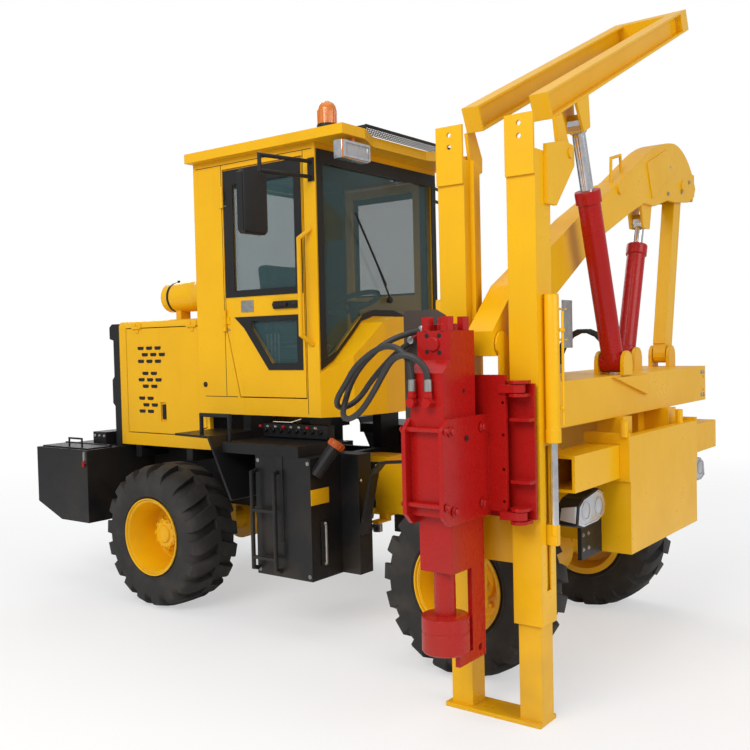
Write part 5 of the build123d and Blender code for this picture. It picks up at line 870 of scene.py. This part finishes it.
# Steel pipes over the upper beam: two bent black pipes near the fold cylinder's foot, each arched
# between two plated unions.
PIPE_X, PIPE_Z = 2700, 1560
UNION = ((0, 19), (20, 19), (22, 15), (48, 15))
pipes = Shape()
unions = Shape()
for y in (-170, -120):
    arc = []
    for step in range(10):
        turn = math.radians(20 * step)
        arc.append((PIPE_X + 160 * math.cos(turn), y + 4 * step, PIPE_Z + 190 * math.sin(turn)))
    pipes.pipe([(arc[0][0], y, 1522)] + arc + [(arc[-1][0], y + 36, 1522)], 12)
    unions.post((arc[0][0], y, 1519), (0, 0, 1), UNION, 6)
    unions.post((arc[-1][0], y + 36, 1519), (0, 0, 1), UNION, 6)
pipes.done("beam_pipes", "front_frame", trim, "black_plastic")
unions.done("beam_unions", "front_frame", zinc, "chromed_rod")

# Mast: two stays that carry a bare plate with four rivets, a clipped pipe on the front post, and
# the leg cylinders' yellow tubes over their plated rods.
LEG_CENTRES, LEG_Y = (2457.7, 3017.3), -1170
SLEEVE = (
    (0, 30), (3, 34.5), (60, 34.5), (62, 32.6), (640, 32.6), (648, 30), (648, 26), (0, 26),
)
mast = Shape()
for z in (1705, 1850):
    mast.rod((2890, -905, z), (2898, -770, z), 6)
mast.pipe([(3058, -1150, 1330), (3058, -1150, 1600), (3058, -1148, 1830)], 6)
for z in (1400, 1740):
    mast.block(3040, 3066, -1160, -1140, z, z + 16, 1)
mast.done("mast_fixings", "front_frame", yellow, "yellow_paint")
label = Shape()
label.block(2898, 2902, -820, -710, 1665, 1893, 1)
for y in (-812, -718):
    for z in (1674, 1884):
        label.post((2902, y, z), (1, 0, 0), ((-1, 5), (2, 5), (3, 3)), 12)
label.done("bare_plate", "front_frame", zinc, "chromed_rod")
rods = Shape()
for x in LEG_CENTRES:
    rods.post((x, LEG_Y, 896), (0, 0, 1), ((0, 18.2), (358, 18.2)), 12)
rods.done("leg_rod_plating", "legs", chrome, "chromed_rod")
sleeves = Shape()
for x in LEG_CENTRES:
    sleeves.loop((x, LEG_Y, 1254.5), (0, 0, 1), SLEEVE, 40)
sleeves.done("leg_cylinder_tubes", "front_frame", yellow, "yellow_paint")

# Fold and lift cylinders: smooth red tubes with a gland ring over the barrels, and hard chrome on
# the rods. A row gives the body, foot, head, barrel radius and length.
CYLINDERS = (
    ("fold_cylinder", (2915, -250, 1580), (2915, -650, 2740), 55, 905),
    ("lift_cylinder", (2737.5, 360, 1590), (2737.5, 613, 2402), 52, 700),
)
for body, foot, head, radius, length in CYLINDERS:
    tube = Shape()
    run = Vector(head) - Vector(foot)
    stations = (
        (58, radius - 6), (62, radius + 1), (length - 66, radius + 1), (length - 62, radius + 9),
        (length - 4, radius + 9), (length + 0.6, radius + 4), (length + 0.6, radius - 18),
        (58, radius - 18))
    tube.loop(foot, run, stations, 56)
    tube.done(body + "_tube", body, red, "red_paint")
ROD_PLATING = (("fold_piston", 0, 32.2, 640), ("lift_piston", 1, 30.2, 620))
for body, number, radius, length in ROD_PLATING:
    plating = Shape()
    foot, head = CYLINDERS[number][1:3]
    plating.post(head, Vector(foot) - Vector(head), ((56, radius), (length, radius)), 48)
    plating.done(body + "_plating", body, chrome, "chromed_rod")

# Boom: four plated bolts with washers in its front cheek, towards the end away from the mast.
# Their hexagon heads are left bright.
boom = Shape()
for y, z in ((930, 2600), (1180, 2640), (1330, 2720), (960, 2770)):
    boom.bolt((2806, y, z), (1, 0, 0), 9, 7)
boom.done("boom_bolts", "boom_body", zinc, "chromed_rod")

# Carriage: hexagon bolts with washers in two rows down its outer plates, painted red with the
# plates.
studs = Shape()
for z in (1010, 1150, 1300, 1440):
    studs.bolt((2862, -1330, z), (0, -1, 0), 8, 8)
for z in (960, 1040, 1160, 1240, 1320, 1430):
    studs.bolt((2968, -1256.5, z), (0, -1, 0), 8, 7)
studs.done("carriage_bolts", "carriage", red, "red_paint")

# Hammer: red tie bolts through its side plates and in its head, plugged ports, plated ferrules on
# the hoses, the dark brown plate that they end in, and the drive cap's rings under the tool.
PORT_Y = -1680
TOOL_X, TOOL_Y = 2683, -1550
CAP_RINGS = ((-0.5, 90), (3, 103), (60, 103), (64, 98), (70, 103), (150, 103), (158, 96))
# The anchor plate's finish: a very dark brown, mottled between two tones.
brown = Finish("dark_brown_plate", Roughness=0.55, Specular_IOR_Level=0.3)
brown.set(Base_Color=brown.blend(brown.noise(9.0, 5), (0.035, 0.026, 0.022), (0.075, 0.05, 0.04)))
bolts = Shape()
for y, z in ((-1645, 1338), (-1394, 1337), (-1627, 1005), (-1398, 1007)):
    bolts.bolt((2789.5, y, z), (1, 0, 0), 15, 16)
    bolts.bolt((2576.5, y, z), (-1, 0, 0), 15, 16)
for z in (1030, 1345):
    for x, way in ((2576, -1), (2790, 1)):
        bolts.bolt((x, -1684, z), (way, 0, 0), 12, 12)
ferrules = Shape()
for x in (2625, 2705):
    bolts.post((x, PORT_Y, 1478), (0, 0, 1), ((0, 20), (18, 20), (20, 16.5), (30, 16.5)), 6)
    ferrules.post((x, PORT_Y, 1506), (0, 0, 1), ((0, 17), (46, 17), (49, 14)), 24)
for place in ((2470, -1438, 1719), (2530, -1438, 1765)):
    ferrules.post(place, (0, 1, 0), ((-26, 14), (-24, 17), (6, 17), (8, 15), (24, 15)), 24)
ferrules.done("hose_ferrules", "hammer_body", zinc, "chromed_rod")
anchor = Shape()
plate_edge = [(2411, 1355), (2642, 1355), (2642, 1792), (2628, 1826), (2582, 1852), (2411, 1852)]
anchor.slab(plate_edge, "y", -1426.5, -1411.5, 1)
anchor.done("hose_anchor_plate", "hammer_body", brown.material, "black_paint")
bolts.post((2683, -1599, 1700), (0, -1, 0), ((0, 30), (10, 30), (13, 26)), 32)
bolts.done("hammer_bolts", "hammer_body", red, "red_paint")
ports = Shape()
for x, z in ((2650, 1668), (2712, 1664), (2650, 1735), (2712, 1735)):
    ports.post((x, -1599.5, z), (0, -1, 0), ((0, 10), (1.2, 10)), 24)
ports.post((2764.6, -1500, 1500), (1, 0, 0), ((0, 9), (1.2, 9)), 24)
ports.post((2790, -1520, 1300), (1, 0, 0), ((-0.4, 12), (0.8, 12)), 24)
ports.done("hammer_ports", "hammer_body", trim, "black_plastic")
head = Shape()
for x in (2640, 2726):
    for y in (-1580, -1502, -1425):
        head.bolt((x, y, 1755), (0, 0, 1), 17, 30)
head.done("hammer_head_bolts", "hammer_body", red, "red_paint")
rings = Shape()
rings.post((TOOL_X, TOOL_Y, 541), (0, 0, -1), CAP_RINGS, 64)
rings.done("drive_cap_rings", "drive_tool_body", red, "red_paint")
shaft = Shape()
shaft.post((TOOL_X, TOOL_Y, 545), (0, 0, 1), ((-4, 46.2), (136, 46.2)), 12)
shaft.done("drive_tool_shaft", "drive_tool_body", red, "red_paint")
